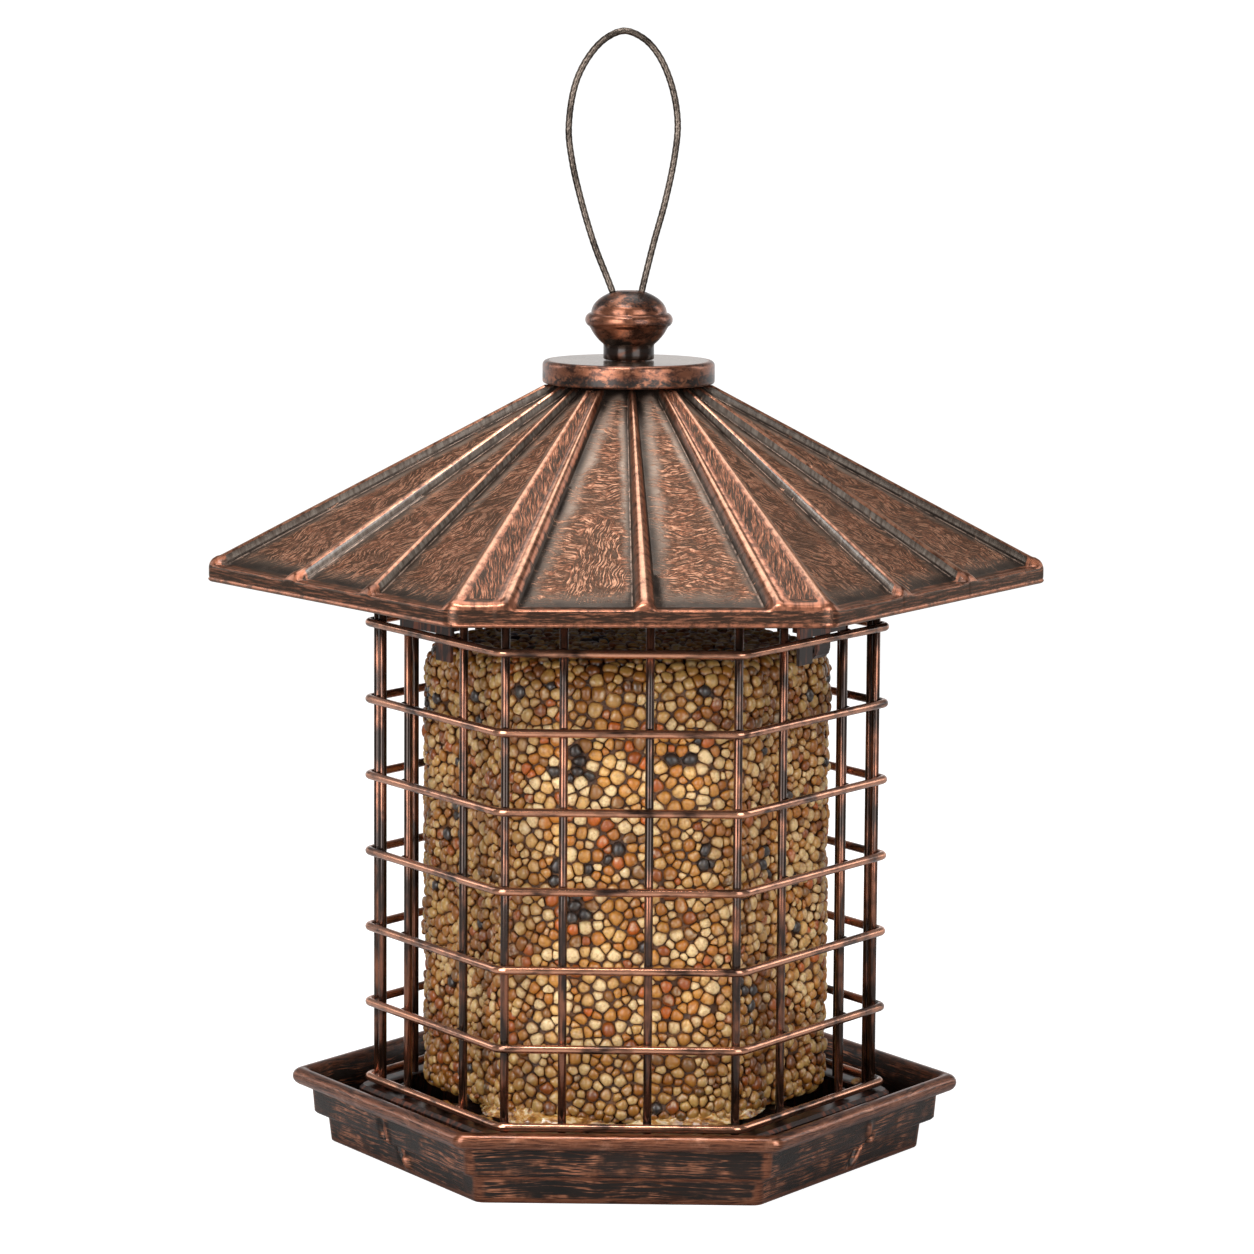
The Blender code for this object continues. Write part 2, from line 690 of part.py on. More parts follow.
def build_roof_shell(parts, carrier):
    """A pressed sheet: skirt, rounded lip, ribbed faces, and a small flat deck round the stud's hole."""
    eave = hexagon(ROOF_CORNER_RADIUS, ROOF_FRONT_HALF_SIDE)
    top = hexagon(ROOF_TOP_CORNER_RADIUS, ROOF_TOP_FRONT_HALF_SIDE)
    rows = roof_rows()
    slope_inset, slope_height, _ = rows[-1]
    foot = grown(eave, -slope_inset)
    deck_margin = 0.0030
    rings = []
    for inset, height, lift_share in rows:
        outline = grown(eave, -inset)
        ring = []
        for face in range(SIDES):
            for column in roof_columns(face)[:-1]:
                ring.append(roof_point(face, column, outline, outline, 0.0, height, lift_share))
        rings.append(ring)
    ring = []
    for face in range(SIDES):
        for column in roof_columns(face)[:-1]:
            ring.append(roof_point(face, column, foot, top, 1.0, panel_top_height(), 1.0))
    rings.append(ring)
    deck = grown(top, -deck_margin)
    hole_radius = STUD_RADIUS + THREAD_CLEARANCE
    ring = []
    for face in range(SIDES):
        for column in roof_columns(face)[:-1]:
            ring.append(roof_point(face, column, deck, deck, 1.0, roof_top_height(), 0.0))
    rings.append(ring)
    rings.append([Vector((point.x, point.y, 0.0)).normalized() * hole_radius + Vector((0.0, 0.0, roof_top_height()))
                  for point in ring])
    shell = thicken(loft("roof_blank", rings, parts), ROOF_SHEET)
    shell.modifiers["sheet"].use_even_offset = False
    piece = add_mesh("roof_shell", evaluated_mesh(shell), parts, (COPPER, 0.4, 0.9))
    piece.parent = carrier


def build_cap_and_finial(parts):
    cap_bottom = roof_top_height() + SEAT_GAP
    cap_top = cap_bottom + CAP_THICKNESS
    edge = 0.0014
    hole = STUD_RADIUS + THREAD_CLEARANCE
    profile = [(hole, cap_top)]
    profile += arc((CAP_RADIUS - edge, cap_top - edge), edge, 90.0, 0.0, 3)
    profile += [(CAP_RADIUS, cap_bottom + edge / 2.0), (CAP_RADIUS - edge / 2.0, cap_bottom), (hole, cap_bottom)]
    cap = turned("cap_blank", profile, parts, 32)
    add_mesh("cap_disc", evaluated_mesh(cap), parts, (COPPER, 0.35, 0.95))

    foot = finial_foot_height()
    neck_share = 0.215
    bead_low_share = 0.47
    bead_high_share = 0.68
    flare_shares = ((0.70, 0.29), (0.86, 0.427))
    neck_height = FINIAL_HEIGHT * neck_share
    bead_low = FINIAL_HEIGHT * bead_low_share
    bead_high = FINIAL_HEIGHT * bead_high_share
    bead_round = (bead_high - bead_low) / 2.0
    dome_steps = 5
    stud_bottom = stud_bottom_height()
    profile = []
    dome_rise = FINIAL_HEIGHT - bead_high
    for along, up in arc((0.0, 0.0), 1.0, 90.0, 0.0, dome_steps):
        profile.append((FINIAL_DOME_RADIUS * along, foot + bead_high + dome_rise * up))
    bead = arc((FINIAL_BEAD_RADIUS - bead_round, (bead_low + bead_high) / 2.0), bead_round, 60.0, -60.0, 4)
    profile += [(radius, foot + height) for radius, height in bead]
    profile += [
        *((FINIAL_BEAD_RADIUS * across, foot + FINIAL_HEIGHT * up) for across, up in reversed(flare_shares)),
        (FINIAL_NECK_RADIUS, foot + neck_height),
        (FINIAL_NECK_RADIUS, foot),
        (STUD_RADIUS, foot),
        (STUD_RADIUS, stud_bottom),
        (STUD_BORE_RADIUS, stud_bottom),
        (STUD_BORE_RADIUS, foot + bead_low),
        (0.0, foot + bead_low + STUD_BORE_RADIUS / 2.0),
    ]
    finial = turned("finial_blank", profile, parts, 24)
    body = add_mesh("finial", evaluated_mesh(finial), parts, (COPPER, 0.33, 0.95))
    for left in (True, False):
        inside, mouth = cable_hole(left)
        along = (mouth - inside).normalized()
        cutter = rod("cable_hole", CABLE_HOLE_RADIUS, inside - along * STUD_BORE_RADIUS / 4.0,
                     mouth + along * OVERRUN, parts, 14)
        combine(body, cutter, "DIFFERENCE")
    body.data.shade_smooth()
    body.data.set_sharp_from_angle(angle=math.radians(40.0))


def finial_foot_height():
    return roof_top_height() + SEAT_GAP + CAP_THICKNESS + SEAT_GAP


def washer_height():
    """Height of the washer's underside."""
    return roof_top_height() - ROOF_SHEET - SEAT_GAP - WASHER_THICKNESS


def stud_bottom_height():
    """The stud ends just under its nut."""
    stud_overhang = 0.0010
    return washer_height() - SEAT_GAP - NUT_THICKNESS - SEAT_GAP - stud_overhang


def cable_hole(left):
    """The inner end and the mouth of one of the finial's two slanted holes."""
    mouth_height = finial_foot_height() + CABLE_HOLE_RISE
    side, offset = (-1.0, LEFT_HOLE_OFFSET) if left else (1.0, RIGHT_HOLE_OFFSET)
    inside = Vector((side * CABLE_SPACING / 2.0, 0.0, mouth_height - CABLE_HOLE_DEPTH))
    return inside, Vector((side * offset, 0.0, mouth_height))


def build_finial_nut(parts):
    low = washer_height()
    ring = [
        (WASHER_RADIUS, low + WASHER_THICKNESS),
        (WASHER_RADIUS, low),
        (STUD_RADIUS + THREAD_CLEARANCE, low),
        (STUD_RADIUS + THREAD_CLEARANCE, low + WASHER_THICKNESS),
    ]
    washer = turned("washer_blank", ring, parts, 18)
    add_mesh("finial_washer", evaluated_mesh(washer), parts, (STEEL, 0.4, 1.0))
    hexagonal_nut("finial_nut", NUT_ACROSS_FLATS, STUD_RADIUS + THREAD_CLEARANCE, NUT_THICKNESS,
                  low - SEAT_GAP - NUT_THICKNESS, (0.0, 0.0), parts, (STEEL, 0.4, 1.0))


def side_slope():
    """Slope of the roof's side faces, and its outer height over a distance from the axis."""
    eave = hexagon(ROOF_CORNER_RADIUS, ROOF_FRONT_HALF_SIDE)
    top = hexagon(ROOF_TOP_CORNER_RADIUS, ROOF_TOP_FRONT_HALF_SIDE)
    slope_inset, slope_height, _ = roof_rows()[-1]
    eave_normal = face_normal(eave)
    outer = eave[0].dot(eave_normal) - slope_inset
    inner = top[0].dot(face_normal(top))
    rise = (panel_top_height() - slope_height) / (outer - inner)
    return rise, slope_height, outer


def face_normal(plan):
    """Outward normal of the face between the +X corner and the next."""
    along = (plan[1] - plan[0]).normalized()
    return Vector((along.y, -along.x))


def bracket_outline():
    """The bent plate seen along the ring's wire: a leg on the ring and a flange under the roof's face."""
    ring = face_distance()
    rise, slope_height, outer = side_slope()
    angle = math.atan(rise)
    drop = (ROOF_SHEET + SEAT_GAP) / math.cos(angle) + ROOF_SHEET / 2.0
    foot = top_ring_height() + WIRE_RADIUS + SEAT_GAP
    half = BRACKET_SHEET / 2.0
    inner_x = ring - half
    outer_x = ring + half

    def under_roof(distance):
        return slope_height + (outer - distance) * rise - drop

    flange_end = inner_x - BRACKET_FLANGE_LENGTH * math.cos(angle)
    thickness_up = BRACKET_SHEET / math.cos(angle)
    return [
        (outer_x, foot),
        (outer_x, under_roof(outer_x)),
        (flange_end, under_roof(flange_end)),
        (flange_end, under_roof(flange_end) - thickness_up),
        (inner_x, under_roof(inner_x) - thickness_up),
        (inner_x, foot),
    ]


def face_distance():
    """Distance from the axis to the wire of the top ring's side faces."""
    plan = hexagon(CAGE_CORNER_RADIUS, CAGE_FRONT_HALF_SIDE)
    return plan[0].dot(face_normal(plan))


def tongue_step():
    """How far the tongues stand in from the ring's wire, which leaves the bracket a loose fit."""
    return WIRE_RADIUS + SEAT_GAP + TONGUE_PLAY + BRACKET_SHEET


def tongue_outline():
    """The tongue that steps in from the leg and hangs inside the ring."""
    ring = face_distance()
    half = BRACKET_SHEET / 2.0
    foot = top_ring_height() + WIRE_RADIUS + SEAT_GAP
    step_height = foot + TONGUE_STEP_RISE
    step_in = tongue_step()
    low = foot - TONGUE_DEPTH
    return [
        (ring - half / 2.0, step_height + BRACKET_SHEET),
        (ring - step_in - half, step_height),
        (ring - step_in - half, low),
        (ring - step_in + half, low),
        (ring - step_in + half, step_height - BRACKET_SHEET),
        (ring - half / 2.0, step_height),
    ]


def curl_outline():
    """A strip that steps in beside the tongue and ends in an open curl."""
    ring = face_distance()
    half = BRACKET_SHEET / 2.0
    foot = top_ring_height() + WIRE_RADIUS + SEAT_GAP
    step_in = tongue_step()
    step_height = foot + TONGUE_STEP_RISE
    centre = (ring - step_in - half - CURL_RADIUS + BRACKET_SHEET, foot - CURL_DROP)
    outer = arc(centre, CURL_RADIUS, 0.0, -250.0, 8)
    inner = arc(centre, CURL_RADIUS - BRACKET_SHEET, -250.0, 0.0, 8)
    neck = [(ring - half / 2.0, step_height), (ring - half / 2.0, step_height + BRACKET_SHEET),
            (ring - step_in - half, step_height)]
    return [(ring - step_in + half, step_height - BRACKET_SHEET)] + outer + inner + neck[::-1]


def build_brackets(parts, carrier):
    """Four plates under the side faces. The front right one also has the curled strip."""
    plan = hexagon(CAGE_CORNER_RADIUS, CAGE_FRONT_HALF_SIDE)
    bracket_share = 0.47
    tongue_share_along = 0.36
    curl_share_along = 0.42
    for number, (corner, other, has_curl) in enumerate(((5, 0, True), (4, 3, False), (2, 3, False), (1, 0, False))):
        start = plan[other]
        end = plan[corner]
        middle = start.lerp(end, bracket_share)
        outward = Vector((middle.x, middle.y)).normalized()
        along = (end - start).normalized()
        normal = Vector((along.y, -along.x))
        if normal.dot(outward) < 0.0:
            normal = -normal
        turning_sense = 1.0 if middle.cross(along) > 0.0 else -1.0
        shift = middle.dot(along) - turning_sense * face_distance() * math.tan(ROOF_TURN)
        outlines = [(bracket_outline(), BRACKET_WIDTH, 0.0)]
        outlines.append((tongue_outline(), TONGUE_WIDTH, BRACKET_WIDTH / 2.0 * tongue_share_along))
        if has_curl:
            outlines.append((curl_outline(), TONGUE_WIDTH, -BRACKET_WIDTH / 2.0 * curl_share_along))
        body = None
        for outline, width, side_shift in outlines:
            blank = prism("bracket_blank", [outline], width, parts)
            across = Vector((normal.x, normal.y, 0.0))
            up = Vector((0.0, 0.0, 1.0))
            sideways = across.cross(up)
            place = Vector((along.x, along.y, 0.0)) * (shift + side_shift)
            frame = Matrix((across, up, sideways)).transposed().to_4x4()
            blank.matrix_world = Matrix.Translation(place) @ frame
            mesh = evaluated_mesh(blank)
            piece = add_mesh("bracket_piece", mesh, parts)
            if body is None:
                body = piece
            else:
                combine(body, piece, "UNION")
        made = add_mesh("roof_bracket_%d" % (number + 1), evaluated_mesh(body), parts, (DARK_BRONZE, 0.45, 0.85))
        made.parent = carrier


def cable_route():
    """Hand-chosen points from the left ferrule up through the finial, round the loop and down to the right one.

    The legs follow the side corners and the stud, and the loop stands on the finial.
    """
    corner = upright_plan()[0].x
    ferrule = side_corner_top_height()
    stud = stud_bottom_height()
    foot = finial_foot_height()
    half = CABLE_SPACING / 2.0
    left_inside, left_mouth = cable_hole(True)
    right_inside, right_mouth = cable_hole(False)
    leg = [
        (corner, 0.0, ferrule + 0.0008),
        (corner, 0.0, ferrule + 0.0065),
        (corner - 0.0014, 0.0, ferrule + 0.0102),
        (corner - 0.0100, 0.0, ferrule + 0.0156),
        (0.0400, 0.0, stud - 0.0191),
        (0.0130, 0.0, stud - 0.0096),
        (0.0034, 0.0, stud - 0.0046),
        (half, 0.0, stud + 0.0004),
        (half, 0.0, foot - 0.0010),
    ]
    loop = [
        (-0.0103, 0.0, foot + 0.0335),
        (-0.0142, 0.0, foot + 0.0463),
        (-0.0169, 0.0, foot + 0.0577),
        (-0.0180, 0.0, foot + 0.0676),
        (-0.0160, 0.0, foot + 0.0808),
        (-0.0118, 0.0, foot + 0.0891),
        (-0.0070, 0.0, foot + 0.0940),
        (-0.0018, 0.0, foot + 0.0960),
        (0.0038, 0.0, foot + 0.0938),
        (0.0082, 0.0, foot + 0.0890),
        (0.0121, 0.0, foot + 0.0801),
        (0.0139, 0.0, foot + 0.0696),
        (0.0131, 0.0, foot + 0.0597),
        (0.0103, 0.0, foot + 0.0459),
        (0.0072, 0.0, foot + 0.0345),
    ]
    left_leg = [(-across, depth, height) for across, depth, height in leg]
    return left_leg + [left_inside, left_mouth] + loop + [right_mouth, right_inside] + leg[::-1]


def smooth_path(points, per_span):
    """A centripetal curve through all the points."""
    points = [Vector(point) for point in points]
    padded = [points[0] * 2.0 - points[1]] + points + [points[-1] * 2.0 - points[-2]]
    path = []
    for index in range(len(points) - 1):
        before, start, end, after = padded[index:index + 4]
        knots = [0.0]
        for first, second in ((before, start), (start, end), (end, after)):
            knots.append(knots[-1] + math.sqrt((second - first).length))
        for step in range(per_span):
            now = knots[1] + (knots[2] - knots[1]) * step / per_span
            lower = blend_between(before, start, knots[0], knots[1], now)
            middle = blend_between(start, end, knots[1], knots[2], now)
            upper = blend_between(end, after, knots[2], knots[3], now)
            left = blend_between(lower, middle, knots[0], knots[2], now)
            right = blend_between(middle, upper, knots[1], knots[3], now)
            path.append(blend_between(left, right, knots[1], knots[2], now))
    path.append(points[-1])
    return path


def blend_between(first, second, low, high, now):
    return first * ((high - now) / (high - low)) + second * ((now - low) / (high - low))


def build_cable(parts):
    path = smooth_path(cable_route(), 2)
    blank = tube("cable_blank", path, CABLE_RADIUS, parts)
    add_mesh("hanging_cable", evaluated_mesh(blank), parts, (STEEL, 0.35, 1.0), 60.0)
    corner = upright_plan()[0].x
    bottom = side_corner_top_height() - FERRULE_LENGTH / 2.0
    bore = WIRE_RADIUS + CABLE_CLEARANCE
    for side, name in ((-1.0, "cable_ferrule_left"), (1.0, "cable_ferrule_right")):
        profile = [
            (bore, bottom + FERRULE_LENGTH),
            (FERRULE_RADIUS, bottom + FERRULE_LENGTH),
            (FERRULE_RADIUS, bottom),
            (bore, bottom),
        ]
        sleeve = turned("ferrule_blank", profile, parts, 20)
        sleeve.location = (side * corner, 0.0, 0.0)
        add_mesh(name, evaluated_mesh(sleeve), parts, (STEEL, 0.3, 1.0))


def main():
    for item in list(bpy.data.objects):
        bpy.data.objects.remove(item)
    parts = collection("bird_feeder")
    roof_axis = bpy.data.objects.new("roof_axis", None)
    parts.objects.link(roof_axis)
    build_tray(parts)
    build_cage_base(parts)
    build_base_screws(parts)
    build_cage(parts)
    build_seed_block(parts)
    build_roof_shell(parts, roof_axis)
    build_brackets(parts, roof_axis)
    build_cap_and_finial(parts)
    build_finial_nut(parts)
    build_cable(parts)
    roof_axis.rotation_euler = (0.0, 0.0, ROOF_TURN)


main()
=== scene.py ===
"""Looks of the hexagonal hanging bird feeder: copper roof and tray, bronze cage, seed block, cable."""
import itertools
import math
from contextlib import contextmanager

import bmesh
import bpy
import numpy as np
from mathutils import Matrix, Vector, noise


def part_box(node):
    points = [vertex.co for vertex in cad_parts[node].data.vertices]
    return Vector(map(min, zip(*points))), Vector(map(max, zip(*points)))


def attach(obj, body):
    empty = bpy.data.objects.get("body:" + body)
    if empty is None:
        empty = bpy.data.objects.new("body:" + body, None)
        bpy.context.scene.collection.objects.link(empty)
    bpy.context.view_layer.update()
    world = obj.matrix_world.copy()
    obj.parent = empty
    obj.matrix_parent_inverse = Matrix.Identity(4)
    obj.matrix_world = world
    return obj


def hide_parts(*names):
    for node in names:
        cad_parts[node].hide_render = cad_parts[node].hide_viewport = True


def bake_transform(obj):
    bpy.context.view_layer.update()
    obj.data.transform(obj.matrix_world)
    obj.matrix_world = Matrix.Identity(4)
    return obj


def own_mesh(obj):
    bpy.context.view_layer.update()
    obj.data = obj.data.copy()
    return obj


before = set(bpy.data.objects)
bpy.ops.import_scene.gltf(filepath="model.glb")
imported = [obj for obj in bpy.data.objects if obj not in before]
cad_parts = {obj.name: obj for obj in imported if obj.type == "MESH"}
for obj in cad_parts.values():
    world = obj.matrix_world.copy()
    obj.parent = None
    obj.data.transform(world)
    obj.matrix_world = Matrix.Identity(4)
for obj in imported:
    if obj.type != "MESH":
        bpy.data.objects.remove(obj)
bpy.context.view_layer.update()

MM = 0.001
SIDES = 6
APOTHEM_SHARE = math.cos(math.radians(30.0))

# Sizes that the looks share with the solids, in metres, and how the roof is turned
WIRE_RADIUS = 0.00125
WELD_GAP = 0.0003
CAGE_CORNER_RADIUS = 0.0772
CAGE_FRONT_HALF_SIDE = 0.0347
RING_CORNER_BEND = 0.0040
TRAY_CORNER_RADIUS = 0.0998
TRAY_FRONT_HALF_SIDE = 0.0457
TRAY_CORNER_BEND = 0.0032
TRAY_SHEET = 0.0008
TRAY_RIM_BEAD_RADIUS = 0.0021
BLOCK_CORNER_RADIUS = 0.0640
BLOCK_FRONT_HALF_SIDE = 0.0290
BLOCK_CORNER_BEND = 0.0200
BLOCK_SHOULDER_ROUND = 0.0095
BLOCK_FOOT_ROUND = 0.0040
LUMP_SPACING = 0.0086
LUMP_HEIGHT = 0.0012
ROOF_CORNER_RADIUS = 0.1245
ROOF_FRONT_HALF_SIDE = 0.0532
ROOF_TOP_CORNER_RADIUS = 0.0250
ROOF_TOP_FRONT_HALF_SIDE = 0.0130
ROOF_SHEET = 0.0010
ROOF_TURN = math.radians(3.25)
RIB_HEIGHT = 0.0029
RIB_WIDTH_AT_EAVE = 0.0066
RIB_WIDTH_AT_TOP = 0.0028
SKIRT_DEPTH = 0.0051
CAP_RADIUS = 0.0254
FINIAL_NECK_RADIUS = 0.0075
FINIAL_BEAD_RADIUS = 0.0129
FINIAL_DOME_RADIUS = 0.0107
STUD_RADIUS = 0.0050
CABLE_RADIUS = 0.0010
CABLE_HOLE_RADIUS = 0.0017
CABLE_HOLE_RISE = 0.0195
CABLE_HOLE_DEPTH = 0.0105
LEFT_HOLE_OFFSET = 0.0048
RIGHT_HOLE_OFFSET = 0.0036
CABLE_SPACING = 0.0030


def heights(name):
    """The lowest and the highest point of a solid."""
    low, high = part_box(name)
    return low.z, high.z


RINGS = ["wire_ring_%d" % number for number in range(1, 8)]
RING_HEIGHTS = [sum(heights(ring)) / 2.0 for ring in RINGS]
SKIRT_BOTTOM, ROOF_TOP = heights("roof_shell")
CAP_BOTTOM, CAP_TOP = heights("cap_disc")
STUD_BOTTOM, FINIAL_TOP = heights("finial")
FINIAL_FOOT = CAP_TOP + WELD_GAP
SIDE_CORNER_TOP = heights("wire_upright_01")[1]
UPRIGHT_TOP = heights("wire_upright_02")[1]
BASE_TOP = heights("cage_base")[1]
TRAY_TOP = heights("tray_pan")[1]
BLOCK_BOTTOM, BLOCK_TOP = heights("seed_block")

# Counts, spacings and shares of the detail
LUMP_COLUMNS = 44
SLOPE_ROWS = 52
PANEL_RUN = 0.84
SIDE_MARK = 0.2
WIRE_SIDES = 16
CABLE_SIDES = 24

# Seeds by size: (tries, smallest radius, largest radius), and how near two lie in shares of their radii
SEED_SIZES = ((9000, 0.0017, 0.0022), (36000, 0.0013, 0.0017), (16000, 0.0010, 0.0012))
SEEDS_ON_TOP = 0.14
SEED_NEARNESS = 0.82
SEED_CELL = 0.0046
SEED_SIDES = 12
SEED_RINGS = (0.0, 26.0, 46.0, 64.0, 82.0, 102.0)
BLACK_TONE = 0.97
ORANGE_TONE = 0.74

# Tray dents: (mark of the side, place along it, height, half width, half height, slant, depth in units). A
# dent, with negative depth, is painted dark as painted shade, and a ridge, with positive depth, is painted
# copper as a painted highlight.
DENT_UNIT = 0.00028
TRAY_DENTS = (
    (0.6, 0.0455, 0.0085, 0.0020, 0.0078, -0.25, -3.6), (0.6, 0.0482, 0.0085, 0.0015, 0.0078, -0.25, 2.6),
    (0.6, 0.0500, 0.0036, 0.0022, 0.0024, 0.0, 3.4), (1.0, 0.0560, 0.0125, 0.0020, 0.0028, 0.0, 3.4),
    (1.0, 0.0530, 0.0065, 0.0020, 0.0056, 0.8, -3.6), (1.0, 0.0556, 0.0065, 0.0015, 0.0056, 0.8, 2.6))


def hexagon(corner_radius, front_half_side):
    """Corners counter-clockwise from +X."""
    apothem = corner_radius * APOTHEM_SHARE
    corners = [(corner_radius, 0.0), (front_half_side, apothem), (-front_half_side, apothem)]
    return [Vector(c) for c in corners + [(-x, -y) for x, y in corners]]


def side_of(plan, index):
    """The ends of one of the plan's sides."""
    return plan[index], plan[(index + 1) % len(plan)]


def corner_frame(plan, index):
    """Unit directions from a corner to its neighbours, and half the angle between them."""
    corner = plan[index]
    before = (plan[index - 1] - corner).normalized()
    after = (plan[(index + 1) % len(plan)] - corner).normalized()
    return corner, before, after, before.angle(after) / 2.0


def grown(plan, distance):
    """The plan with each side moved out by a distance, or in by a negative one."""
    points = []
    for index in range(len(plan)):
        corner, before, after, half_angle = corner_frame(plan, index)
        points.append(corner - (before + after).normalized() * (distance / math.sin(half_angle)))
    return points


def rounded(plan, bend_radius, steps, side_steps=1):
    """The plan's outline with each corner as an arc and each straight side in equal steps."""
    points = []
    for index in range(len(plan)):
        corner, before, after, half_angle = corner_frame(plan, index)
        centre = corner + (before + after).normalized() * (bend_radius / math.sin(half_angle))
        start = corner + before * (bend_radius / math.tan(half_angle)) - centre
        turn = math.pi - 2.0 * half_angle
        if points:
            last = points[-1]
            points += [last.lerp(centre + start, step / side_steps) for step in range(1, side_steps)]
        points += [centre + Matrix.Rotation(turn * step / steps, 2) @ start for step in range(steps + 1)]
    last, first = points[-1], points[0]
    return points + [last.lerp(first, step / side_steps) for step in range(1, side_steps)]


def arc(centre, radius, start_degrees, end_degrees, steps):
    """Points of an arc, both ends among them."""
    turns = np.radians(np.linspace(start_degrees, end_degrees, steps + 1))
    return [(centre[0] + radius * math.cos(turn), centre[1] + radius * math.sin(turn)) for turn in turns]


def circle(steps):
    """Cosine and sine of equal steps round a full turn."""
    turns = np.linspace(0.0, 2.0 * math.pi, steps, endpoint=False)
    return [(math.cos(turn), math.sin(turn)) for turn in turns]


def within(value, low=0.0, high=1.0):
    """The value, or the nearer end of its range."""
    return min(max(value, low), high)


def side_number(point):
    """Which of the six sides a point lies at, counter-clockwise from +X."""
    return int(math.degrees(math.atan2(point.y, point.x)) % 360.0 // 60.0)


def linked(name, data):
    """A new object in the scene."""
    made = bpy.data.objects.new(name, data)
    bpy.context.scene.collection.objects.link(made)
    return made


def add_piece(name, mesh, body, materials, replaced=(), smooth_angle=50.0):
    """Puts a mesh in the scene as a piece that rides on a body and stands for the named solids."""
    piece = linked(name, mesh)
    for finish in materials:
        mesh.materials.append(finish)
    mesh.shade_smooth()
    if smooth_angle:
        mesh.set_sharp_from_angle(angle=math.radians(smooth_angle))
    if body:
        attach(piece, body)
    if replaced:
        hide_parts(*replaced)
    return piece


def grid_mesh(name, rows):
    """A mesh through rows of points, each row closed into a ring."""
    count = len(rows[0])
    points = np.array([[tuple(point) for point in row] for row in rows], float).reshape(-1, 3)
    across = np.arange(count)
    following = (across + 1) % count
    base = (np.arange(len(rows) - 1) * count)[:, None]
    faces = np.stack([base + across, base + following, base + count + following, base + count + across], -1)
    mesh = bpy.data.meshes.new(name)
    mesh.from_pydata(points.tolist(), [], faces.reshape(-1, 4).tolist())
    return mesh


def store(mesh, name, values, kind="FLOAT"):
    """Keeps a value for each point of a mesh, which its material reads."""
    made = mesh.attributes.new(name, kind, "POINT")
    key = "value" if kind == "FLOAT" else "vector"
    made.data.foreach_set(key, np.array(values, np.float32).ravel())


@contextmanager
def edited(mesh):
    """The mesh as a bmesh that is written back at the end."""
    builder = bmesh.new()
    builder.from_mesh(mesh)
    yield builder
    builder.to_mesh(mesh)
    builder.free()


def primitive(name, operator, **settings):
    """A new mesh from one of bmesh's operators."""
    mesh = bpy.data.meshes.new(name)
    with edited(mesh) as builder:
        operator(builder, **settings)
    return mesh


def close_ends(mesh, sides):
    """Fills the first and the last ring of a mesh."""
    with edited(mesh) as builder:
        corners = list(builder.verts)
        builder.faces.new(corners[:sides][::-1])
        builder.faces.new(corners[-sides:])
        bmesh.ops.recalc_face_normals(builder, faces=builder.faces)
    return mesh


def joined(name, meshes):
    """One mesh of several."""
    made = bpy.data.meshes.new(name)
    with edited(made) as builder:
        for mesh in meshes:
            builder.from_mesh(mesh)
            bpy.data.meshes.remove(mesh)
    return made


def cable_mesh(name, path):
    """A tube along a path, with the strands' relief."""
    rows = []
    side = (path[1] - path[0]).orthogonal().normalized()
    run = 0.0
    for index, point in enumerate(path):
        ahead = (path[min(index + 1, len(path) - 1)] - path[max(index - 1, 0)]).normalized()
        side = (side - ahead * side.dot(ahead)).normalized()
        other = ahead.cross(side)
        run += (point - path[max(index - 1, 0)]).length
        row = []
        for step, (cosine, sine) in enumerate(circle(CABLE_SIDES)):
            reach = CABLE_RADIUS * strand_lobes(2.0 * math.pi * step / CABLE_SIDES, run)
            row.append(point + (side * cosine + other * sine) * reach)
        rows.append(row)
    return close_ends(grid_mesh(name, rows), CABLE_SIDES)


def closed_tube(path, radius, sides):
    """A tube along a level closed path."""
    up = Vector((0.0, 0.0, 1.0))
    rows = []
    for index, point in enumerate(path):
        outward = (path[(index + 1) % len(path)] - path[index - 1]).normalized().cross(up)
        rows.append([point + (outward * cosine + up * sine) * radius for cosine, sine in circle(sides)])
    mesh = grid_mesh("ring", rows + [rows[0]])
    with edited(mesh) as builder:
        bmesh.ops.remove_doubles(builder, verts=builder.verts, dist=0.001 * MM)
        bmesh.ops.recalc_face_normals(builder, faces=builder.faces)
    return mesh


def turned_mesh(name, profile, steps):
    """A solid of revolution from (radius, height, wear) points, top to bottom."""
    mesh = grid_mesh(name, [[(radius * cosine, radius * sine, height) for cosine, sine in circle(steps)[::-1]]
                            for radius, height, _ in profile])
    store(mesh, "wear", np.repeat([wear for _, _, wear in profile], steps))
    return mesh


class Value:
    """What a shader node gives. Sums, differences and products of values are built as nodes."""

    def __init__(self, nodes, socket):
        self.nodes = nodes
        self.socket = socket

    def __add__(self, other):
        return self.nodes.math("ADD", self, other)

    def __sub__(self, other):
        return self.nodes.math("SUBTRACT", self, other)

    def __rsub__(self, other):
        return self.nodes.math("SUBTRACT", other, self)

    def __mul__(self, other):
        return self.nodes.math("MULTIPLY", self, other)

    def __abs__(self):
        return self.nodes.math("ABSOLUTE", self)


